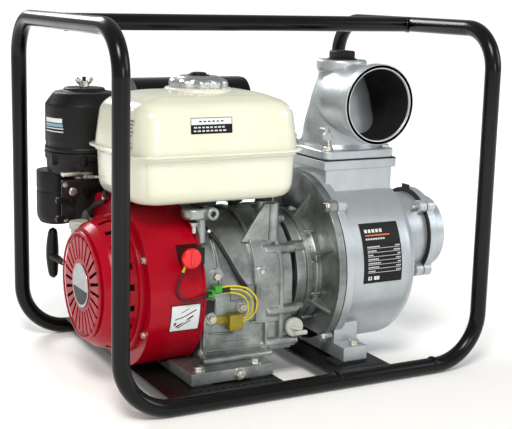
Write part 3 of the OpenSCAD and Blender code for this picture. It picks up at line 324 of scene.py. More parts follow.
def swept(path, radius, sides=16, flat=1.0, closedEnds=True):
    # Tube along a path: each ring stands square to the path, and the ends close on the path's own points.
    path = np.array(path, float)
    tangent = np.gradient(path, axis=0)
    tangent /= np.linalg.norm(tangent, axis=1)[:, None]
    normals = [axisFrame(tangent[0])[0]]
    for way in tangent[1:]:
        carried = normals[-1] - way * np.dot(normals[-1], way)
        normals.append(carried / np.linalg.norm(carried))
    normal = np.array(normals)
    side = np.cross(tangent, normal)
    angle = np.arange(sides) * 2 * np.pi / sides
    size = np.broadcast_to(np.asarray(radius, float), (len(path),))[:, None, None]
    ring = np.cos(angle)[None, :, None] * normal[:, None] * flat + np.sin(angle)[None, :, None] * side[:,
                                                                                                       None]
    points = path[:, None] + size * ring
    if closedEnds:
        ends = [np.repeat(path[i][None, None], sides, 1) for i in (0, -1)]
        points = np.concatenate([ends[0], points, ends[1]])
    return points.reshape(-1, 3), gridFaces(len(points), sides)


def roundBlock(low, high, radius, sides=24):
    # Box with rounded edges: a sphere of that radius whose eight parts are pushed out to the box's corners.
    low, high = np.array(low, float), np.array(high, float)
    half = (high - low) / 2
    radius = min(radius, half.min() * 0.98)
    tilt = np.concatenate([[0], (np.arange(sides // 2) + 0.5) * np.pi / (sides // 2), [np.pi]])
    turn = (np.arange(sides) + 0.5) * 2 * np.pi / sides
    normal = np.stack([np.sin(tilt)[:, None] * np.cos(turn), np.sin(tilt)[:, None] * np.sin(turn),
                       np.cos(tilt)[:, None] + 0 * turn], -1)
    push = np.sign(normal)
    push[0, :, 2], push[-1, :, 2] = 1, -1
    points = (low + high) / 2 + push * (half - radius) + radius * normal
    points[0] = points[1]
    points[-1] = points[-2]
    points[0, :, 2], points[-1, :, 2] = high[2], low[2]
    faces = gridFaces(len(tilt), sides)
    last = (len(tilt) - 1) * sides
    faces.append(list(range(sides))[::-1])
    faces.append([last + i for i in range(sides)])
    return points.reshape(-1, 3), [face[::-1] for face in faces]


def slabFromOutline(outline, depth, bevel, origin, across, up):
    # Flat plate: a closed outline in the plane (across, up), carried along their cross product by depth,
    # with its rims drawn in by the bevel.
    outline = np.array(outline, float)
    across, up = np.array(across, float), np.array(up, float)
    along = np.cross(across, up)
    edge = np.roll(outline, -1, 0) - np.roll(outline, 1, 0)
    outward = np.stack([edge[:, 1], -edge[:, 0]], -1) / np.maximum(np.linalg.norm(edge, axis=1), 1e-9)[:,
                                                                                                       None]
    rows = [(-bevel, 0), (0, bevel), (0, depth - bevel), (-bevel, depth)]
    points = np.stack([(outline + inset * outward)[:, :1] * across + (outline + inset * outward)[:, 1:] * up
                       + height * along for inset, height in rows])
    count = len(outline)
    faces = gridFaces(4, count)
    faces.append(list(range(count))[::-1])
    faces.append([3 * count + i for i in range(count)])
    return points.reshape(-1, 3) + np.array(origin, float), faces


def roundRect(width, height, radius, steps=5):
    # Outline of a rectangle with round corners about its middle, counter-clockwise.
    quarter = np.linspace(0, np.pi / 2, steps)
    corners = [(1, 1, 0), (-1, 1, 1), (-1, -1, 2), (1, -1, 3)]
    parts = [np.stack([sx * (width / 2 - radius) + radius * np.cos(quarter + k * np.pi / 2),
                       sy * (height / 2 - radius) + radius * np.sin(quarter + k * np.pi / 2)], -1)
             for sx, sy, k in corners]
    return np.concatenate(parts)


def hexHead(centre, direction, radius, height, washer=1.25):
    # Hexagon head with a chamfered crown on a round washer.
    thick = height * 0.22
    disc = turned([(0, 0), (radius * washer, 0), (radius * washer, thick * 0.8),
                   (radius * washer * 0.96, thick), (0, thick)], centre, direction, 28)
    head = turned([(0, thick * 0.5), (radius, thick * 0.5), (radius, height * 0.88), (radius * 0.88, height),
                   (0, height)], centre, direction, 6)
    return [disc, head]


def makePiece(name, surfaces, finish, body="root", replaced=(), sharp=34):
    # Joins surfaces into one closed piece: doubles merged, faces outward, smooth up to the sharp angle.
    points, faces, start = [], [], 0
    for surfacePoints, surfaceFaces in surfaces:
        points.append(surfacePoints)
        faces += [[start + i for i in face] for face in surfaceFaces]
        start += len(surfacePoints)
    mesh = bpy.data.meshes.new(name)
    mesh.from_pydata((np.concatenate(points) * mm).tolist(), [], faces)
    work = bmesh.new()
    work.from_mesh(mesh)
    bmesh.ops.remove_doubles(work, verts=work.verts, dist=2e-6)
    bmesh.ops.dissolve_degenerate(work, edges=work.edges, dist=1e-6)
    bmesh.ops.recalc_face_normals(work, faces=work.faces)
    work.to_mesh(mesh)
    work.free()
    mesh.shade_smooth()
    mesh.set_sharp_from_angle(angle=math.radians(sharp))
    piece = bpy.data.objects.new(name, mesh)
    bpy.context.scene.collection.objects.link(piece)
    mesh.materials.append(materials[finish])
    if body:
        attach(piece, body)
    if replaced:
        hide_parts(*replaced)
    return piece


def boxMm(node):
    # Lowest and highest corner of a CAD part, in millimetres.
    low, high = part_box(node)
    return np.array(low) / mm, np.array(high) / mm


# Fuel tank: pressed halves with a folded seam
tank = {"bodyInset": 8, "cornerRadius": 38, "seamCorner": 44, "crown": 2.2, "neckRadius": 38}


def makeTank():
    # Rounded-rectangle rings stacked up a profile of (inset, height): each ring is the seam's outline drawn in.
    low, high = boxMm("tank_lower")
    topZ = 450
    seam = high[2]
    width, depth = high[0] - low[0], high[1] - low[1]
    middle = (low + high) / 2
    inset = tank["bodyInset"]
    lower = [(depth / 2 - 4, low[2]), (30, low[2]), (19, low[2] + 4), (13, low[2] + 16),
             (inset + 3, seam - 12), (inset + 2.6, seam - 8), (inset, seam - 7), (inset, seam - 1.6)]
    lip = [(0.6, seam - 1.6), (0, seam - 1), (0, seam + 1), (0.6, seam + 1.6)]
    upper = [(inset, seam + 1.6), (inset + 0.6, seam + 8), (inset + 6.5, topZ - 27), (inset + 17, topZ - 14),
             (inset + 46, topZ - 3), (inset + 66, topZ - 0.2), (depth / 2 - 4, topZ + tank["crown"])]
    rows = np.concatenate([rounded(lower, 9, 5), np.array(lip), rounded(upper, 9, 6)])
    corner = np.interp(rows[:, 0], [0, inset, inset + 30, depth / 2 - 4],
                       [tank["seamCorner"], tank["cornerRadius"], 26, 3])
    rings = [np.column_stack([roundRect(width - 2 * i, depth - 2 * i, r, 10), np.full(40, z)])
             for (i, z), r in zip(rows, corner)]
    points = np.stack(rings) + np.array([middle[0], middle[1], 0])
    count = 40
    faces = gridFaces(len(rows), count)
    faces.append(list(range(count))[::-1])
    faces.append([(len(rows) - 1) * count + i for i in range(count)])
    capLow, capHigh = boxMm("cap_seal")
    neck = (capLow + capHigh) / 2
    neckShape = turned(rounded([(0, topZ - 3), (54, topZ - 3), (51, topZ + 3.2),
                                (tank["neckRadius"] + 2, topZ + 4.2), (36.2, topZ + 5), (36, capLow[2]),
                                (0, capLow[2])], 2.5), (neck[0], neck[1], 0))
    makePiece("fuelTankShell", [(points.reshape(-1, 3), faces), neckShape], "creamStovedEnamel", "root",
              ["tank_lower", "tank_upper"], sharp=50)


def makeFuelCap():
    # Scalloped pressed cap: a turned profile whose skirt radius waves ten times round.
    low, high = boxMm("fuel_cap")
    x, y = (low + high)[:2] / 2
    base, top = low[2], low[2] + 15
    profile = rounded([(0, base + 5.5), (37, base + 5.5), (37.5, base), (43, base), (43.5, base + 9),
                       (40, top - 1.5), (33, top), (30, top + 2.6), (18, top + 3.2), (0, top + 3.2)], 2.2)
    shape = turned(profile, (x, y, 0), sides=240)
    points = shape[0]
    offset = points[:, :2] - (x, y)
    distance = np.linalg.norm(offset, axis=1)
    angle = np.arctan2(offset[:, 1], offset[:, 0])
    wave = 1 + 0.055 * np.cos(10 * angle) * np.clip((distance - 37.8) / 3, 0, 1)
    points[:, :2] = (x, y) + offset * wave[:, None]
    makePiece("scallopedFuelCap", [shape], "chromePlatedSteel", "tank_cap", ["fuel_cap"])
    button = turned(rounded([(0, top + 2), (12, top + 2), (12.5, top + 7), (9, top + 8), (0, top + 8)], 1.5),
                    (x, y, 0), sides=48)
    ring = turned(rounded([(14, top + 3), (15, top + 4.6), (16.5, top + 4.8), (17.5, top + 3),
                           (14, top + 3)], 0.5), (x, y, 0), sides=64)
    makePiece("capVentButton", [button, ring], "mouldedBlackNylon", "tank_cap")


# Air cleaner
cleaner = {"wall": 64}


def makeAirCleaner():
    # Two turned shells, the cover and the base, with a sump bowl, clips and a snorkel band.
    low, high = boxMm("air_cleaner_cover")
    x, y = (low + high)[:2] / 2
    seam, top = low[2], high[2]
    r = cleaner["wall"]
    cover = rounded([(r - 3, seam + 2), (r, seam), (r, seam + 6), (r - 1.2, seam + 8), (r - 1.2, seam + 14),
                     (r - 0.6, seam + 16), (r - 1, top - 26), (r - 15, top - 7), (34, top - 4.5),
                     (33, top - 1), (31, top), (6, top), (3.6, top), (3.6, top - 3), (28, top - 4),
                     (r - 18, top - 10), (r - 4, top - 28), (r - 3, seam + 2)], 2.5)
    shapes = [turned(cover, (x, y, 0), sides=128)]
    makePiece("airCleanerCover", shapes, "mouldedBlackNylon", "cleaner_cover",
              ["air_cleaner_cover"])
    baseTop = boxMm("air_cleaner_base")[1][2]
    bowlX, bowlY = -275, 150
    base = rounded([(0, 300), (r - 10, 300), (r - 4, 303), (r - 3, 312), (r - 2, seam - 14), (r, seam - 12),
                    (r, seam - 0.6), (r - 4, seam - 0.6), (r - 5, 306), (0, 306)], 3)
    bowl = rounded([(0, 215), (20, 215), (27, 217), (32, 226), (32.6, 232), (33, 240), (33, 268),
                    (32.4, 270), (32.4, 274), (33, 276), (33, 304), (0, 304)], 2.2)
    shapes = [turned(base, (x, y, 0), sides=128), turned(bowl, (bowlX, bowlY, 0), sides=80),
              turned([(0, 300), (3, 300), (3, baseTop - 0.8), (2.2, baseTop), (0, baseTop)], (x, y, 0),
                     sides=20)]
    for angle in np.radians([200, 250, 300, 350]):
        shapes.append(roundBlock((x + (r - 1) * math.cos(angle) - 5, y + (r - 1) * math.sin(angle) - 5,
                                  seam - 20), (x + (r - 1) * math.cos(angle) + 5,
                                               y + (r - 1) * math.sin(angle) + 5, seam - 3), 2))
    makePiece("airCleanerBase", shapes, "mouldedBlackNylon", "root", ["air_cleaner_base"])
    band = turned(rounded([(r - 3, seam - 3.5), (r + 0.9, seam - 3.5), (r + 1.2, seam - 2.5),
                           (r + 0.9, seam - 1.5), (r - 3, seam - 1.5), (r - 3, seam - 3.5)], 0.4), (x, y, 0),
                  sides=128)
    makePiece("cleanerSeamBand", [band], "mouldedBlackRubber", "root")


def makeWingNut():
    # Pressed wing nut: a turned hub with two swept ears.
    low, high = boxMm("wing_nut")
    x, y = (low + high)[:2] / 2
    hub = turned(rounded([(3.1, low[2]), (8, low[2]), (8, low[2] + 2), (6.5, low[2] + 10),
                          (3.1, low[2] + 10), (3.1, low[2])], 0.8), (x, y, 0), sides=40)
    ears = []
    for side in (-1, 1):
        path = [(x + side * 4, y, low[2] + 5), (x + side * 8, y, low[2] + 9), (x + side * 12, y, low[2] + 13),
                (x + side * 14, y, low[2] + 15.5)]
        ears.append(swept(smoothPath(path, 5), np.interp(np.arange(16), [0, 6, 15], [3.5, 4.5, 2.2]), 16,
                          flat=1.0))
    for ear in ears:
        ear[0][:, 1] = y + (ear[0][:, 1] - y) * 0.4
    makePiece("pressedWingNut", [hub] + ears, "zincPlatedSteel", "cleaner_nut",
              ["wing_nut"])


# Pull handle and rope
handle = {"grip": 10.5, "bow": 5}


def makePullHandle():
    # A bowed grip swept end to end, thicker in the middle, with a neck that tapers into the rope.
    low, high = boxMm("recoil_handle")
    x = (low[0] + high[0]) / 2
    gripY = high[1] - handle["grip"]
    z = np.linspace(low[2] + 4, high[2] - 4, 25)
    t = np.linspace(-1, 1, 25)
    path = np.column_stack([np.full(25, x), gripY - handle["bow"] * t ** 2, z])
    size = handle["grip"] * (0.80 + 0.2 * np.cos(t * 2.2)) * np.sqrt(np.clip(1 - np.abs(t) ** 14, 0.05, 1))
    grip = swept(path, size, 28)
    neckZ = 158
    neck = turned(rounded([(0, 0), (4.5, 0), (6, 8), (7.8, 20), (8, gripY - low[1] - 2),
                           (0, gripY - low[1] - 2)], 3), (x, low[1], neckZ), (0, 1, 0), 32)
    sleeve = turned(rounded([(2.4, -26), (4.6, -26), (5.4, -12), (6.6, 4), (2.4, 4), (2.4, -26)], 1, 3),
                    (x, low[1], neckZ), (0, 1, 0), 32)
    makePiece("bowedPullHandle", [grip, neck, sleeve], "mouldedBlackNylon", "pull_handle",
              ["recoil_handle"])


def makeRope():
    # Braided rope from the reel's eyelet to the handle.
    low, high = boxMm("starter_rope")
    x, z = (low[0] + high[0]) / 2, (low[2] + high[2]) / 2
    y = np.linspace(low[1], high[1] + 2, 121)
    turn = y * 2 * np.pi / 8
    path = np.column_stack([np.full(121, x), y, np.full(121, z)])
    core = swept(path, 2.3 + 0.18 * np.sin(turn * 2), 16)
    rope = makePiece("braidedStarterRope", [core], "braidedNylonRope", None, ["starter_rope"])
    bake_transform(rope)
    eyelet = turned(rounded([(3, -1), (7, -1), (9.5, 0.5), (9.5, 2), (7, 3.2), (4, 3.2), (3, 2), (3, -1)], 1),
                    (x, low[1] - 1, z), (0, 1, 0), 40)
    makePiece("ropeEyelet", [eyelet], "zincPlatedSteel", "root")


# Discharge elbow and its threaded outlet
elbow = {"outletRadius": 58, "collar": 63.5, "threadPitch": 2.31, "threadDepth": 1.1, "bore": 55.5}


def makeElbow():
    # Cast elbow: a turned body on a square flange, a round outlet facing the front with a pipe thread,
    # and a top port.
    low, high = boxMm("discharge_elbow")
    x, y = (boxMm("priming_plug")[0] + boxMm("priming_plug")[1])[:2] / 2
    outletZ = 429
    face = low[1]
    r, collar, bore = elbow["outletRadius"], elbow["collar"], elbow["bore"]
    flangeLow, flangeHigh = 338, 352
    body = turned(rounded([(0, flangeHigh - 4), (66, flangeHigh - 4), (64, flangeHigh + 2),
                           (61, flangeHigh + 7), (60, 378), (57, 396), (52, 414), (47, 436), (42, 452),
                           (38, 462), (37.5, 472), (40, 474.5), (41, 478), (41, 488.5), (39.5, high[2]),
                           (20.4, high[2]), (20.4, 478), (0, 478)], 5, 5), (x, y, 0), sides=128)
    pipe = rounded([(0, -4), (52, 6), (r, 34), (r + 0.6, 92), (collar - 1, 96), (collar, 98.5),
                    (collar, y - face - 1), (collar - 1, y - face), (bore + 1.4, y - face),
                    (bore + 0.9, y - face - 1.4), (bore, y - face - 2.4)], 3, 4)
    outer = turned(np.concatenate([pipe, [[bore, y - face - 3]]]), (x, y, outletZ), (0, -1, 0), 128)
    steps = int(20 / elbow["threadPitch"] * 6)
    angle = np.arange(128) * 2 * np.pi / 128
    across, up, along = axisFrame((0, -1, 0))
    distance = np.linspace(3, 23, steps)
    phase = (distance[:, None] / elbow["threadPitch"] + angle[None] / (2 * np.pi)) % 1
    fade = np.clip((distance - 3) / 2.3, 0, 1) * np.clip((23 - distance) / 2.3, 0, 1)
    wall = bore + elbow["threadDepth"] * (1 - 2 * np.abs(phase - 0.5)) * fade[:, None]
    ring = np.cos(angle)[:, None] * across + np.sin(angle)[:, None] * up
    points = wall[:, :, None] * ring[None] + (y - face - distance)[:, None,
                                                                   None] * along + np.array([x, y, outletZ])
    thread = (points.reshape(-1, 3), gridFaces(steps, 128))
    innerStart = turned([(bore, y - face - 23), (bore - 1, 76), (50.5, 58), (47, 30), (36, 10), (18, 2),
                         (0, 0)], (x, y, outletZ), (0, -1, 0), 128)
    square = slabFromOutline(roundRect(136, 136, 14, 6), flangeHigh - flangeLow, 1.4, (x, y, flangeLow),
                             (1, 0, 0), (0, 1, 0))
    shapes = [body, square]
    for angleDeg in (0, 90, 180, 270):   # webs between the cone and the flange corners
        a = math.radians(angleDeg + 45)
        way = np.array([math.cos(a), math.sin(a), 0])
        cross = np.array([-way[1], way[0], 0])
        outline = [(50, 0), (80, 0), (64, 9), (60, 26), (50, 30)]
        shapes.append(slabFromOutline(outline, 5, 0.8, np.array([x, y, flangeHigh - 1]) + cross * 2.5, way,
                                      (0, 0, 1)))
    shapes.append(roundBlock((90, -94, 358), (98, -50, 386), 2.5))
    shapes.append(turned(rounded([(0, 0), (9, 0), (9, 3), (8, 4), (0, 4)], 0.8), (94, -92, 372), (0, -1, 0),
                         32))
    makePiece("castElbowBody", shapes, "silverPaintedCasting", "root", ["discharge_elbow"])
    makePiece("castElbowOutlet", [outer], "silverPaintedCasting", "root")
    # the thread and the bore beyond it take painted shade: near black in place of the shade deep in the port
    makePiece("threadedPortInPaintedShade", [thread, innerStart], "paintedShadeWall", "root")
    rim = turned([(bore + 1, y - face - 0.5), (collar - 1.6, y - face - 0.2), (collar - 1.6, y - face),
                  (bore + 1.4, y - face)], (x, y, outletZ), (0, -1, 0), 128)
    makePiece("facedPortRim", [rim], "facedAluminiumRim", "root")


def makePrimingPlug():
    # Moulded plug: a turned flange under a square head with round edges.
    low, high = boxMm("priming_plug")
    x, y = (low + high)[:2] / 2
    head = roundBlock((x - 16, y - 16, high[2] - 14), (x + 16, y + 16, high[2]), 3)
    flange = turned(rounded([(0, low[2]), (18.6, low[2]), (19.6, low[2] + 1), (19.6, high[2] - 15),
                             (24, high[2] - 15), (24, high[2] - 12.6), (0, high[2] - 12.6)], 0.8), (x, y, 0),
                    sides=64)
    makePiece("squareHeadPlug", [head, flange], "mouldedBlackNylon", "prime_plug",
              ["priming_plug"])


def arcBand(alongFrom, alongTo, inner, outer, angleFrom, angleTo, centre, axis="x", steps=24, bevel=1.0):
    # Block bent round an axis: a six-sided section in (along, radius) is carried through the angles.
    frames = {"x": ((0, 1, 0), (0, 0, 1), (1, 0, 0)), "z": ((1, 0, 0), (0, 1, 0), (0, 0, 1))}
    across, up, along = (np.array(v, float) for v in frames[axis])
    b = min(bevel, (outer - inner) * 0.45, (alongTo - alongFrom) * 0.45)
    section = np.array([(alongFrom, inner), (alongFrom, outer - b), (alongFrom + b, outer),
                        (alongTo - b, outer), (alongTo, outer - b), (alongTo, inner)])
    angle = np.radians(np.linspace(angleFrom, angleTo, steps))
    ring = np.cos(angle)[:, None] * across + np.sin(angle)[:, None] * up
    points = section[None, :, 1, None] * ring[:, None] + section[None, :, :1] * along + np.array(centre,
                                                                                                 float)
    count = len(section)
    faces = gridFaces(steps, count)
    faces.append(list(range(count))[::-1])
    faces.append([(steps - 1) * count + i for i in range(count)])
    return points.reshape(-1, 3), faces


def boss(centre, direction, radius, length, draft=0.8):
    # Short cast boss: a turned stub with draft and a softened rim.
    return turned(rounded([(0, 0), (radius + draft, 0), (radius, length), (0, length)], 1.4, 3), centre,
                  direction, 40)


def bar(start, end, width, height, out):
    # Raised flat bar between two points of a face; out is the face's normal.
    start, end, out = np.array(start, float), np.array(end, float), np.array(out, float)
    length = np.linalg.norm(end - start)
    way = (end - start) / length
    side = np.cross(out, way)
    outline = roundRect(length, width, width * 0.3, 3)
    return slabFromOutline(outline, height, height * 0.35, (start + end) / 2, way, side)


# The crankcase drum and its front face, the fan housing and starter cover, and the pump casing with its ports
crank = {"y": -50, "z": 157, "radius": 100, "frontY": -150}
housing = {"y": -50, "z": 153, "radius": 124, "edgeX": -158.6, "starterZ": 158}
pump = {"y": -50, "z": 166, "radius": 138, "flangeRadius": 149, "suctionZ": 194, "suctionBolts": 77}


def makeCrankcaseDetail():
    # Cast detail on the crankcase's front: stepped bands round the drum, panels, lettering-free frames
    # and bosses.
    y, z, r, front = crank["y"], crank["z"], crank["radius"], crank["frontY"]
    axis = (0, y, z)
    shapes = [
        arcBand(-156, -124, r - 2, r + 4.5, 98, 181, axis),
        arcBand(-128, -122, r - 2, r + 7, 100, 179, axis, bevel=2),
        arcBand(-62, -16, r - 2, r + 4.5, 60, 180, axis),
        arcBand(-66, -61, r - 2, r + 8, 62, 178, axis, bevel=2),
        arcBand(-22, -14, r - 2, r + 8, 20, 181, axis, bevel=2),
        roundBlock((-62, front - 4.5, 96), (-16, front + 2, z + 1), 2),
        roundBlock((-22, front - 8, 54), (-14, front + 2, z + 1), 2.5),
        roundBlock((-156, front - 4.5, 146), (-124, front + 2, z + 1), 2),
        roundBlock((-156, front - 18, 45), (-36, front + 2, 55), 4.5),
        roundBlock((-152, front - 7, 54), (-147, front + 2, 118), 2),
        roundBlock((-46, front - 7, 54), (-40, front + 2, 98), 2.5),
    ]
    out = (0, -1, 0)
    padBox = [(-103, 136), (-55, 136), (-55, 158), (-103, 158)]
    for a, b in zip(padBox, padBox[1:] + padBox[:1]):
        depthY = front - (4.4 if min(a[0], b[0]) > -62 else 0)
        shapes.append(bar((a[0], depthY, a[1]), (b[0], depthY, b[1]), 1.8, 1.6, out))
    shapes += [bar((-139, front, 89), (-98, front, 86), 3, 2.4, out),
               bar((-69, front - 4, 100), (-44, front - 4, 99), 3, 2, out),
               bar((-120, front, 74), (-70, front, 72), 1.6, 1.2, out),
               bar((-112, front, 68), (-76, front, 66.5), 1.6, 1.2, out),
               bar((-146, front, 62), (-48, front, 60), 3, 2.2, out)]
    for k in range(5):   # small raised casting marks, no lettering
        shapes.append(bar((-92 + 7 * k, front, 79), (-88 + 7 * k, front, 79), 2.2, 0.9, out))
    for x, bossZ, size in ((-129, 178, 12), (-136, 112, 11), (-84, 125, 11), (-52, 178, 8), (-150, 60, 7),
                           (-44, 58, 8)):
        shapes.append(boss((x, front + 3, bossZ), out, size, 4.5 if bossZ < 178 else 6))
    coverBosses = [(front - 1, 113), (front - 1, 62), (50 + 1, 113), (50 + 1, 62)]
    for angle in (150, 118, 90, 62, 30):
        a = math.radians(angle)
        coverBosses.append((y + (r + 1) * math.cos(a), z + (r + 1) * math.sin(a)))
    for bossY, bossZ in coverBosses:
        shapes.append(turned(rounded([(0, -44), (7, -44), (8.5, -36), (8.5, 9), (0, 9)], 2),
                             (0, bossY, bossZ), (1, 0, 0), 32))
    earZ = 264
    shapes += [turned(rounded([(0, 0), (17, 0), (20, 4), (20, 15), (17, 17), (0, 17)], 2.5),
                      (-157, -130, earZ), (0, 0, 1), 56),
               turned(rounded([(0, 0), (9, 0), (10, 3), (10, 13), (8.5, 15), (4.2, 15), (4.2, 3), (0, 3)],
                              1.5),
                      (-136, -138, earZ + 9), (0, -1, 0), 40),
               roundBlock((-157, -146, earZ), (-134, -126, earZ + 17), 4),
               turned(rounded([(0, 0), (9, 0), (8, 40), (0, 40)], 2), (-146, -128, 226), (0, 0, 1), 36),
               turned(rounded([(0, 0), (11, 0), (9.5, 20), (9, 62), (0, 62)], 3), (-22, -128, 218),
                      (0, 0, 1), 40)]
    shapes.append(slabFromOutline([(-76, 222), (-30, 214), (-26, 279), (-38, 279)], 7, 1.5, (0, -124, 0),
                                  (1, 0, 0), (0, 0, 1)))
    shapes.append(turned(rounded([(84, 18), (92, 18), (92, 34), (97, 36), (97, 42), (90, 44), (90, 56),
                                  (100, 62.5), (84, 62.5), (84, 18)], 1.5, 4), axis, (1, 0, 0), 96))
    for angle in range(15, 360, 30):
        a = math.radians(angle)
        way = np.array([0, math.cos(a), math.sin(a)])
        start, end = np.array(axis) + way * 97 + (40, 0, 0), np.array(axis) + way * 97 + (60, 0, 0)
        shapes.append(bar(start, end, 4, 5, way))
    makePiece("crankcaseCastDetail", shapes, "dieCastAluminium", "root")
    window = [slabFromOutline(roundRect(17, 23, 5), 2, 0.6, (-140, front + 0.6, 130), (1, 0, 0), (0, 0, 1))]
    makePiece("inspectionWindow", window, "mouldedBlackRubber", "root")
    frameRing = [bar((-149.5, front, 118), (-149.5, front, 143), 2.5, 3, out),
                 bar((-149, front, 143.5), (-131, front, 143.5), 2.5, 3, out),
                 bar((-130.5, front, 118), (-130.5, front, 143), 2.5, 3, out)]
    makePiece("windowRim", frameRing, "dieCastAluminium", "root")
    heads = []
    for bossY, bossZ in coverBosses:
        heads += hexHead((9, bossY, bossZ), (1, 0, 0), 5.5, 5)
    heads += hexHead((-22, -128, 263), (0, -1, 0), 5.5, 5) + hexHead((-165, -146, 262), (0, 0, -1), 6, 6)
    heads += [turned([(0, 0), (3.5, 0), (3.5, 16), (0, 16)], (-165, -146, 246), (0, 0, 1), 24)]
    for x, bossZ in ((-52, 178), (-150, 60), (-44, 58)):
        heads += hexHead((x, front - 1.8, bossZ), out, 4.2, 4)
    makePiece("crankcaseBolts", heads, "zincPlatedSteel", "root")


lugAngles = [45, 135, 225, 315]


def makeFasteners():
    # Hex bolts, washers and nuts where the frame's plain ones are.
    shapes = []
    for x in (-172, -77):
        for y in (-184, 84):
            shapes += hexHead((x, y, 46), (0, 0, 1), 8.5, 7)
            shapes += hexHead((x, y, 21.4), (0, 0, -1), 8.5, 6)
    for y in (-182, 82):
        shapes += hexHead((102, y, 52), (0, 0, 1), 8.5, 7)
        shapes += hexHead((102, y, 21.4), (0, 0, -1), 8.5, 6)
    shapes += hexHead((-111, -198, 37), (0, -1, 0), 8, 7)
    shapes += [turned(rounded([(4.5, 6), (4.5, 8), (3, 8.2), (3, 6.5), (4.5, 6)], 0.3), (-111, -198, 37),
                      (0, -1, 0), 24)]
    for x, z in ((-129, 178), (-136, 112), (-84, 125)):
        shapes += hexHead((x, crank["frontY"] - 1.5, z), (0, -1, 0), 6.5, 6)
    for angle in np.radians(lugAngles):
        reach = pump["flangeRadius"]
        y, z = pump["y"] + reach * math.cos(angle), pump["z"] + reach * math.sin(angle)
        shapes += hexHead((88, y, z), (1, 0, 0), 7.5, 6) + hexHead((60, y, z), (-1, 0, 0), 7.5, 6)
        reach = pump["suctionBolts"]
        y, z = pump["y"] + reach * math.cos(angle), pump["suctionZ"] + reach * math.sin(angle)
        shapes += hexHead((299, y, z), (1, 0, 0), 7, 6)
        shapes += [turned([(0, 0), (4, 0), (4, 8), (3.2, 9), (0, 9)], (269, y, z), (-1, 0, 0), 20)]
    for x in (90, 198):
        for y in (-104, 4):
            shapes += hexHead((x, y, 352), (0, 0, 1), 7.5, 6)
            shapes += [turned([(0, 0), (4, 0), (4, 8), (3, 9.5), (0, 9.5)], (x, y, 358), (0, 0, 1), 20)]
            shapes += [turned([(0, 0), (4.4, 0), (4.4, 16), (0, 16)], (x, y, 337), (0, 0, 1), 20)]
    for y, z in ((-73, 48), (73, 48), (-73, -48), (73, -48)):
        shapes += hexHead((42, crank["y"] + y, crank["z"] + z), (1, 0, 0), 7, 6)
    makePiece("hexBoltSet", shapes, "zincPlatedSteel", "root", ["fasteners"])


def makeHousingTrim():
    # Rolled rim of the fan housing, its bolts, a near-black liner of painted shade inside the starter and the
    # printed sticker.
    y, z, r, edge = housing["y"], housing["z"], housing["radius"], housing["edgeX"]
    front = np.radians(np.linspace(255, 90, 60))
    path = np.column_stack([np.full(60, edge), y + r * np.cos(front), z + r * np.sin(front)])
    corner = np.radians(np.linspace(90, 0, 14))
    top = np.column_stack([np.full(14, edge), 28 + 30 * np.cos(corner), 253 + 30 * np.sin(corner)])
    path = np.concatenate([path, [[edge, -44, 282.6]], top, [[edge, 58, 170]]])
    makePiece("rolledHousingRim", [swept(path, 2.3, 10)], "redStovedEnamel", "root")
    recoilZ = housing["starterZ"]
    rib = turned(rounded([(101.5, -254), (104.5, -254.5), (106.8, -253.6), (108, -251), (108, -246),
                          (101.5, -246), (101.5, -254)], 1.2), (0, y, recoilZ), (1, 0, 0), 128)
    step = turned(rounded([(77.5, -306), (78.5, -307.2), (81.5, -306.8), (83, -304.5), (77.5, -304.5),
                           (77.5, -306)], 0.7), (0, y, recoilZ), (1, 0, 0), 128)
    makePiece("starterCoverBeads", [rib, step], "redStovedEnamel", "root")
    # painted shade: a near-black shell inside the starter cover stands in for the shade there
    starterShade = [turned([(12, -301), (84, -300), (89, -290), (93, -268), (93, -250), (91.5, -250), (91.5, -268),
                    (87, -289), (83, -298.6), (12, -299.6), (12, -301)], (0, y, recoilZ), (1, 0, 0), 64)]
    makePiece("starterPaintedShadeLiner", starterShade, "paintedShadeWall", "root")
    bolts = []
    for angle in np.radians([30, 90, 150, 210, 270, 330]):
        bolts += hexHead((-245, y + 114 * math.cos(angle), 156 + 112 * math.sin(angle)), (-1, 0, 0), 4.6, 4.5)
    makePiece("starterCoverBolts", bolts, "zincPlatedSteel", "root")

    def patch(x0, x1, z0, z1, lift, name, finish, thick=0.25):
        angles = [180 - math.degrees(math.asin((level - z) / r)) for level in (z0, z1)]
        return makePiece(name, [arcBand(x0, x1, r + lift, r + lift + thick, angles[0], angles[1], (0, y, z),
                                        steps=12, bevel=0.05)], finish, "root")
    patch(-213, -164.5, 104, 147, 0.0, "stickerBorder", "printedBlackLabel", 0.35)
    patch(-211.5, -166, 105.5, 145.5, 0.1, "stickerField", "paleLabelInk", 0.45)
    marks = []
    for x0, z0, x1, z1, w in ((-203, 112, -176, 128, 2.6), (-200, 110, -180, 121, 1.6),
                              (-205, 124, -190, 128, 1.5), (-190, 128, -172, 137, 1.8),
                              (-196, 134, -184, 140, 1.0), (-206, 115, -203, 119, 3)):
        yA, yB = (y - math.sqrt((r + 0.5) ** 2 - (q - z) ** 2) for q in (z0, z1))
        marks.append(bar((x0, yA, z0), (x1, yB, z1), w, 0.3, (0, -0.97, -0.24)))
    makePiece("stickerMarks", marks, "printedBlackLabel", "root")


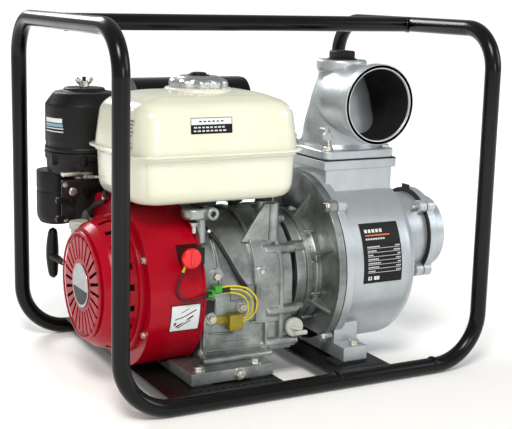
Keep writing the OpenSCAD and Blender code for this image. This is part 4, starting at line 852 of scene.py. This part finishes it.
def makeLabels():
    # Printed plates with plain bars in place of any wording.
    y, z, r = pump["y"], pump["z"], pump["radius"]

    def casingPatch(x0, x1, z0, z1, lift, thick):
        angles = [180 - math.degrees(math.asin((level - z) / r)) for level in (z0, z1)]
        return arcBand(x0, x1, r + lift, r + lift + thick, angles[0], angles[1], (0, y, z), steps=16,
                       bevel=0.1)
    badge = turned(rounded([(0, 0), (33.2, 0), (34, 0.8), (34, 1.4), (32, 2), (30.5, 1.5), (0, 1.5)], 0.5),
                   (-306, y, housing["starterZ"]), (-1, 0, 0), 96)
    makePiece("ratingPlate", [casingPatch(112, 184, 150, 242, -0.2, 0.9)], "printedBlackLabel", "root",
              ["label_plates"])
    makePiece("starterBadge", [badge], "clearedSilverBadge", "root")
    half = np.radians(np.linspace(190, 350, 20))
    outline = np.stack([29.5 * np.cos(half), 29.5 * np.sin(half)], -1)
    makePiece("badgeDarkHalf", [slabFromOutline(outline, 0.4, 0.1, (-307.5, y, housing["starterZ"]),
                                                (0, -1, 0), (0, 0, 1))], "printedBlackLabel", "root")
    rows = [casingPatch(119 + 7 * k, 124 + 7 * k, 228, 233, 0.6, 0.25) for k in range(5)]
    rows += [casingPatch(119 + 4.6 * k, 122.4 + 4.6 * k, 217.5, 220, 0.6, 0.25) for k in range(8)]
    lines = []
    for k in range(7):
        level = 206 - 6.3 * k
        rows += [casingPatch(120 + 3.4 * n, 122.6 + 3.4 * n, level, level + 2, 0.6, 0.25)
                 for n in range((7, 5, 3, 6, 7, 6, 4)[k])]
        rows += [casingPatch(179 - 3.2 * n, 181.4 - 3.2 * n, level, level + 2, 0.6, 0.25)
                 for n in range((3, 4, 2, 3, 2, 3, 3)[k])]
        lines.append(casingPatch(119, 181, level - 1.8, level - 1.1, 0.6, 0.2))
    rows += [casingPatch(120, 127, 155, 161, 0.6, 0.25), casingPatch(131, 141, 155, 161, 0.6, 0.25)]
    makePiece("ratingPlateBars", rows + lines, "paleLabelInk", "root")
    makePiece("ratingPlateInk", [casingPatch(122, 125, 157, 160, 0.8, 0.2),
                                 casingPatch(135.6, 136.4, 155.6, 160.4, 0.8, 0.2)], "printedBlackLabel",
              "root")
    makePiece("ratingPlateLine", [casingPatch(119, 165, 223.2, 225, 0.6, 0.25)], "orangeLabelInk", "root")
    # tank front: the wall leans back 7 mm over its 60 mm rise
    low, high = boxMm("tank_lower")
    seam = high[2]
    lean = np.array([0, 7.0, 60.0]) / math.hypot(7, 60)

    def onTank(x, level, proud):
        return np.array([x, low[1] + 8 + (level - seam) * 7 / 60 - proud, level])
    plate = [slabFromOutline(roundRect(67, 23.5, 1.5), 0.5, 0.1, onTank(-146, 406.5, 0.1), (1, 0, 0), lean)]
    makePiece("tankLabelBorder", plate, "printedBlackLabel", "root")
    plate = [slabFromOutline(roundRect(65.4, 9.4, 0.6), 0.3, 0.1, onTank(-146, 412.8, 0.45), (1, 0, 0), lean)]
    for k in range(8):
        plate.append(slabFromOutline(roundRect(4 if k % 3 else 5, 2.2, 0.4), 0.3, 0.05,
                                     onTank(-172 + 6.4 * k, 404.2, 0.45), (1, 0, 0), lean))
        plate.append(slabFromOutline(roundRect(5 if k % 2 else 4, 2.2, 0.4), 0.3, 0.05,
                                     onTank(-173 + 6.8 * k, 399.2, 0.45), (1, 0, 0), lean))
    makePiece("tankLabelField", plate, "paleLabelInk", "root")
    plate = [slabFromOutline(roundRect(4, 1.8, 0.3), 0.3, 0.05, onTank(-164 + 7 * k, 412.8, 0.7), (1, 0, 0),
                             lean) for k in range(6)]
    end = []
    leanEnd = np.array([7.0, 0, 60.0]) / math.hypot(7, 60)
    for k in range(7):
        level = 414 - 5.2 * k
        x = low[0] + 8 + (level - seam) * 7 / 60
        end.append(slabFromOutline(roundRect(34 - 4 * (k % 3), 1.8, 0.3), 0.3, 0.05, (x - 0.1, -125, level),
                                   (0, -1, 0), leanEnd))
    level = 376
    end.append(slabFromOutline(roundRect(36, 4, 0.4), 0.3, 0.05,
                               (low[0] + 8 + (level - seam) * 7 / 60 - 0.1, -125, level), (0, -1, 0),
                               leanEnd))
    makePiece("tankSideBars", plate + end, "printedBlackLabel", "root")
    cleanerAxis, labelWall = (-234, 130, 0), (63, 64.35)
    stripes = [arcBand(386, 393, *labelWall, 180, 217, cleanerAxis, "z", 12, 0.1),
               arcBand(376, 377.6, *labelWall, 180, 219, cleanerAxis, "z", 12, 0.1),
               arcBand(371, 372.6, *labelWall, 180, 219, cleanerAxis, "z", 12, 0.1)]
    makePiece("cleanerLabelPale", stripes, "paleLabelInk", "cleaner_cover")
    stripes = [arcBand(379.5, 384.5, *labelWall, 180, 218, cleanerAxis, "z", 12, 0.1)]
    makePiece("cleanerLabelBlue", stripes, "blueLabelInk", "cleaner_cover")


# Routes of the leads and hoses, the same as the frame's, in millimetres
routes = {
    "alertLeadA": [(-130, -163, 159), (-112, -170, 161), (-92, -171, 156), (-78, -170, 143),
                   (-74, -166, 126), (-76, -161, 115), (-82, -157.5, 110.5), (-89, -157, 110)],
    "alertLeadB": [(-130, -163, 155), (-113, -168, 155), (-96, -169, 150), (-85, -168, 139),
                   (-81, -165, 124), (-83, -160, 108), (-86, -157, 102.5), (-89, -157, 102)],
    "alertLeadC": [(-130, -163, 163), (-110, -172, 166), (-88, -174, 160), (-72, -173, 144),
                   (-69, -168, 124), (-72, -161, 112), (-80, -157, 106), (-89, -156, 106)],
    "switchLead": [(-190, -172, 207), (-193, -173, 198), (-200, -175, 186), (-205, -178, 172),
                   (-202, -179, 160), (-192, -180, 153), (-176, -180, 153), (-162, -180, 157),
                   (-152, -174, 160), (-145, -167, 158)],
    "plugLead": [(-24, 120, 254), (-20, 108, 267), (-14, 84, 272), (-12, 56, 270), (-30, 38, 274),
                 (-62, 34, 280), (-102, 33, 283), (-142, 34, 283), (-155, 33, 276), (-166, 32, 270)],
    "ventHose": [(-136, -122, 248), (-125, -137, 232), (-112, -149, 207), (-99, -157, 181),
                 (-88, -158, 166), (-80, -154, 156)],
    "fuelHose": [(-251, -8, 292), (-251, -7, 282), (-250, 6, 273), (-250, 30, 266), (-251, 46, 258),
                 (-250.5, 58, 247), (-245, 66, 237), (-240, 72, 232), (-240, 77.8, 232)],
}


def makeLeads():
    # Leads and hoses swept round along their routes, with their connectors, sleeves and clips.
    yellow = [swept(smoothPath(routes[name], 8), 1.2, 12) for name in ("alertLeadA", "alertLeadB",
                                                                       "alertLeadC")]
    yellow.append(swept(smoothPath([(-190, -172, 208), (-191, -172.4, 203), (-194.6, -173.4, 195)], 6), 2.0,
                        12))
    makePiece("alertLeads", yellow, "yellowVinylInsulation", "root", ["wire_leads"])
    black = [swept(smoothPath(routes["switchLead"], 8), 1.7, 14),
             swept(smoothPath(routes["plugLead"], 8), 3.5, 20)]
    sleeve = smoothPath([(-136, -163, 158), (-126, -165, 159.5), (-115, -169, 161)], 6)
    black += [swept(sleeve, 4.2, 18), swept(smoothPath([(-162, -180, 157), (-152, -174, 160),
                                                        (-146, -168, 158)], 6), 2.6, 14)]
    makePiece("switchAndPlugLeads", black, "mouldedBlackRubber", "root")
    green = [roundBlock((-151, -168.5, 150), (-139, -158, 161), 1.6),
             roundBlock((-139, -169, 156), (-127, -159, 167), 1.6),
             roundBlock((-153, -166, 153), (-149, -160, 158), 1),
             turned([(0, 0), (2.6, 0), (2.6, 5), (0, 5)], (-124, -167, 160), (1, -0.3, 0.1), 16)]
    makePiece("leadConnectors", green, "greenNylonConnector", "root")
    hoses = [swept(smoothPath(routes["ventHose"], 8), 3.6, 20),
             swept(smoothPath(routes["fuelHose"], 8), 4, 20)]
    makePiece("mouldedHoses", hoses, "mouldedBlackRubber", "root", ["hoses"])
    clips = []
    for name, index in (("ventHose", 38), ("ventHose", 4), ("fuelHose", 8), ("fuelHose", 48)):
        path = smoothPath(routes[name], 8)
        way = path[min(index + 1, len(path) - 1)] - path[index - 1]
        clips.append(turned([(4.1, -2.2), (5, -2.2), (5, 2.2), (4.1, 2.2), (4.1, -2.2)],
                            path[min(index, len(path) - 1)], way, 24))
    makePiece("hoseClips", clips, "zincPlatedSteel", "root")


def makeSwitchAndAlert():
    # Round stop switch, its bracket, and the folded alert-unit box with its strap.
    low, high = boxMm("switch_knob")
    x, z = (low[0] + high[0]) / 2, (low[2] + high[2]) / 2
    knob = turned(rounded([(0, 0), (4, 0), (4, 12), (13.5, 12.3), (15, 13.2), (15, 18), (14.2, 19.4),
                           (12.5, 20.4), (11.5, 20.2), (0, 21)], 1.2), (x, -170, z), (0, -1, 0), 96,
                  ripple=(36, 0.25, 10, 17))
    pointer = bar((x, -190.6, z - 10), (x, -190.6, z + 10), 4.5, 2.2, (0, -1, 0))
    makePiece("roundStopSwitch", [knob, pointer], "glossRedAbs", "stop_switch", ["switch_knob"])
    box = [roundBlock((-111, -164, 93), (-89, -150.2, 118), 1.6),
           bar((-140, -151, 110), (-104, -151, 108), 12, 1.6, (0, -1, 0)),
           bar((-111, -164, 98), (-89, -164, 98), 1.2, 0.6, (0, -1, 0)),
           bar((-111, -164, 112), (-89, -164, 112), 1.2, 0.6, (0, -1, 0))]
    makePiece("alertUnitBox", box, "yellowPassivatedZinc", "root", ["oil_alert_unit"])
    low, high = boxMm("oil_filler_cap")
    fx, fz = 6, 84
    cap = turned(rounded([(0, 22), (8.7, 22), (8.7, 0.4), (15, 0), (15.4, -5), (14, -8.4), (0, -9)], 1.4),
                 (fx, -152, fz), (0, 1, 0), 72, ripple=(24, 0.35, 8, 16))
    wing = [roundBlock((fx - 3, -166, fz - 12), (fx + 20, -159, fz - 5), 2.4),
            bar((fx - 9, -160.4, fz + 2), (fx + 9, -160.4, fz - 4), 5, 4.5, (0, -1, 0))]
    makePiece("oilFillerPlug", [cap] + wing, "greyMouldedNylon", "filler_cap",
              ["oil_filler_cap"])


def makeFrameWelds():
    # Weld beads where the rails, the lifting bar and the plates meet the tubes: rings whose radius ripples.
    tube = 12.7
    beads = []
    for y in (-227, 227):
        for x in (45, 225):
            beads.append(turned([(tube - 0.6, -3.2), (tube + 0.5, -2.6), (tube + 1.1, 0), (tube + 0.5, 2.6),
                                 (tube - 0.6, 3.2), (tube - 0.6, -3.2)], (x, y, 12.7 + 1.2), (1, 0, 0), 72,
                                ripple=(22, 0.18, 1, 4)))
    for side in (-1, 1):
        a = np.linspace(0, 2 * np.pi, 73)
        path = np.column_stack([side * (311 - np.sqrt(tube ** 2 - (tube * np.sin(a)) ** 2 * 0.999)),
                                tube * np.cos(a), 548.3 + tube * np.sin(a)])
        beads.append(swept(path, 1.6, 8))
    for x0, x1 in ((-237, -50), (35, 144)):
        for y in (-215.5, 215.5):
            path = np.column_stack([np.linspace(x0 + 4, x1 - 4, 60), np.full(60, y),
                                    24.2 + 0.4 * np.sin(np.arange(60) * 1.6)])
            beads.append(swept(path, 2.0 + 0.25 * np.sin(np.arange(60) * 1.6), 8))
    low, high = (np.array(corner) * 1000 for corner in cadBox)
    # a bead never stands past the outer faces
    beads = [(np.clip(points, low, high), faces) for points, faces in beads]
    makePiece("weldBeads", beads, "blackPowderCoatedSteel", "root")


def makeCoolingBaffle():
    # Black pressed baffle that stands across the engine behind the tank's front mounts, with a folded top edge.
    shapes = [roundBlock((-165, 48, 255), (-4, 50, 288.5), 0.8),
              roundBlock((-165, 48, 286.5), (-4, 58, 288.5), 0.8),
              roundBlock((-110, 46.6, 262), (-60, 48.6, 280), 0.8)]
    makePiece("coolingBaffle", shapes, "satinBlackPaintedPlate", "root")


def makeControls():
    # Carburettor side: linkage bars, a return spring wound as a helix, screws and pivots on the control plate.
    steel = [roundBlock((-293, 66, 304), (-262, 78, 311), 1.5),
             roundBlock((-262, 70, 305.5), (-226, 74, 309), 1.2),
             roundBlock((-256, 71, 298.5), (-240, 76, 306), 1.2),
             turned(rounded([(0, 0), (7, 0), (7, 3), (5.5, 4), (0, 4)], 0.8), (-275, 72, 279), (0, -1, 0),
                    32)]
    turn = np.linspace(0, 2 * np.pi * 9, 9 * 16)
    path = np.column_stack([-258 + turn * 0.42, 67 + 2.6 * np.cos(turn), 301.5 + 2.6 * np.sin(turn)])
    steel.append(swept(path, 0.6, 8))
    for x, z in ((-286, 234), (-204, 292), (-204, 234), (-286, 290)):
        steel += hexHead((x, 76, z), (0, -1, 0), 3.6, 3.4)
    makePiece("controlLinkage", steel, "zincPlatedSteel", "root")
    cup = turned(rounded([(0, 0), (11, 0), (13, 4), (13, 14), (16, 16), (16, 26), (14, 28), (0, 28)], 1.5),
                 (-269, 60, 206), (0, 0, 1), 48)
    makePiece("fuelStrainerCup", [cup], "greyMouldedNylon", "root")


makeTank()
makeFuelCap()
makeAirCleaner()
makeWingNut()
makePullHandle()
makeRope()
print("stage: tank, cleaner and starter rope made")
makeElbow()
makePrimingPlug()
makeCrankcaseDetail()
makeFasteners()
makeHousingTrim()
makeLabels()
print("stage: castings, bolts and labels made")
makeLeads()
makeSwitchAndAlert()
makeFrameWelds()
makeControls()
makeCoolingBaffle()
print("stage: leads, switches, welds and controls made")

studio = {"floorHalf": 9.0, "lens": 80.96, "location": (-0.8809, -1.6499, 0.6011), "yaw": 28.594,
          "pitch": -11.054, "roll": 1.382}


def makeFloor():
    # A flat square of pale card, far wider than the view. It glows softly away from the pump, as a lit
    # sweep does.
    half = studio["floorHalf"]
    mesh = bpy.data.meshes.new("floorCard")
    mesh.from_pydata([(-half, -half, 0), (half, -half, 0), (half, half, 0), (-half, half, 0)], [],
                     [(0, 1, 2, 3)])
    card = bpy.data.objects.new("floorCard", mesh)
    bpy.context.scene.collection.objects.link(card)
    mat = makeMaterial("paleFloorCard", "f6f6f5", "f2f2f1", blotchMm=900, rough=(0.8, 0.9), grainMm=3,
                       grainDepthMm=0.01, gloss=0.2)
    tree = mat.node_tree
    coords = addNode(tree, "ShaderNodeTexCoord")
    reach = addNode(tree, "ShaderNodeVectorMath", {"operation": "LENGTH"}, {0: (coords, "Object")})
    glow = addNode(tree, "ShaderNodeMapRange", {"From Min": 0.7, "From Max": 3.2, "To Min": 0.06,
                                                "To Max": 0.75}, {"Value": (reach, "Value")})
    shader = tree.nodes["Principled BSDF"]
    shader.inputs["Emission Color"].default_value = linearColour("ffffff")
    tree.links.new(glow.outputs["Result"], shader.inputs["Emission Strength"])
    card.data.materials.append(mat)


def aimMatrix(yaw, pitch, roll):
    # Camera axes: forward by yaw from +Y towards +X and by pitch, then right and up turned by roll about it.
    forward = np.array([math.sin(yaw) * math.cos(pitch), math.cos(yaw) * math.cos(pitch), math.sin(pitch)])
    right = np.array([math.cos(yaw), -math.sin(yaw), 0])
    up = np.cross(right, forward)
    rightTurned = math.cos(roll) * right + math.sin(roll) * up
    upTurned = -math.sin(roll) * right + math.cos(roll) * up
    return Matrix(np.column_stack([rightTurned, upTurned, -forward]).tolist()).to_4x4()


def makeCamera():
    camera = bpy.data.objects.new("camera", bpy.data.cameras.new("camera"))
    bpy.context.scene.collection.objects.link(camera)
    camera.data.lens = studio["lens"]
    turn = aimMatrix(math.radians(studio["yaw"]), math.radians(studio["pitch"]), math.radians(studio["roll"]))
    camera.matrix_world = Matrix.Translation(studio["location"]) @ turn
    camera.data.clip_end = 50
    bpy.context.scene.camera = camera


def makeLight(name, place, aim, size, power, tint="ffffff"):
    lamp = bpy.data.lights.new(name, "AREA")
    lamp.shape = "DISK"
    lamp.size = size
    lamp.energy = power
    lamp.color = linearColour(tint)[:3]
    holder = bpy.data.objects.new(name, lamp)
    bpy.context.scene.collection.objects.link(holder)
    way = np.array(aim, float) - np.array(place, float)
    flat = math.hypot(way[0], way[1])
    turn = aimMatrix(math.atan2(way[0], way[1]), math.atan2(way[2], flat), 0)
    holder.matrix_world = Matrix.Translation(place) @ turn


makeFloor()
makeCamera()
makeLight("keySoftbox", (-1.3, -2.0, 2.7), (0, 0, 0.25), 1.1, 78, "fffaf2")
makeLight("fillSoftbox", (2.6, -1.8, 1.5), (0, 0, 0.25), 1.5, 26, "f2f7ff")
makeLight("backSoftbox", (-0.6, 2.6, 2.0), (0, 0, 0.3), 1.4, 60)
makeLight("stripSoftbox", (-0.1, -2.9, 0.9), (0, 0, 0.25), 0.45, 9)
# white as a backdrop, dimmer as a light, so that black stays black
world = bpy.data.worlds.new("studioWhite")
world.use_nodes = True
background = world.node_tree.nodes["Background"]
background.inputs["Color"].default_value = linearColour("ffffff")
rays = addNode(world.node_tree, "ShaderNodeLightPath")
addNode(world.node_tree, "ShaderNodeMapRange", {"To Min": 0.42, "To Max": 1.05},
        {"Value": (rays, "Is Camera Ray")})
world.node_tree.links.new(world.node_tree.nodes["Map Range"].outputs["Result"], background.inputs["Strength"])
bpy.context.scene.world = world
bpy.context.scene.view_settings.view_transform = "Standard"

print("stage: studio ready")
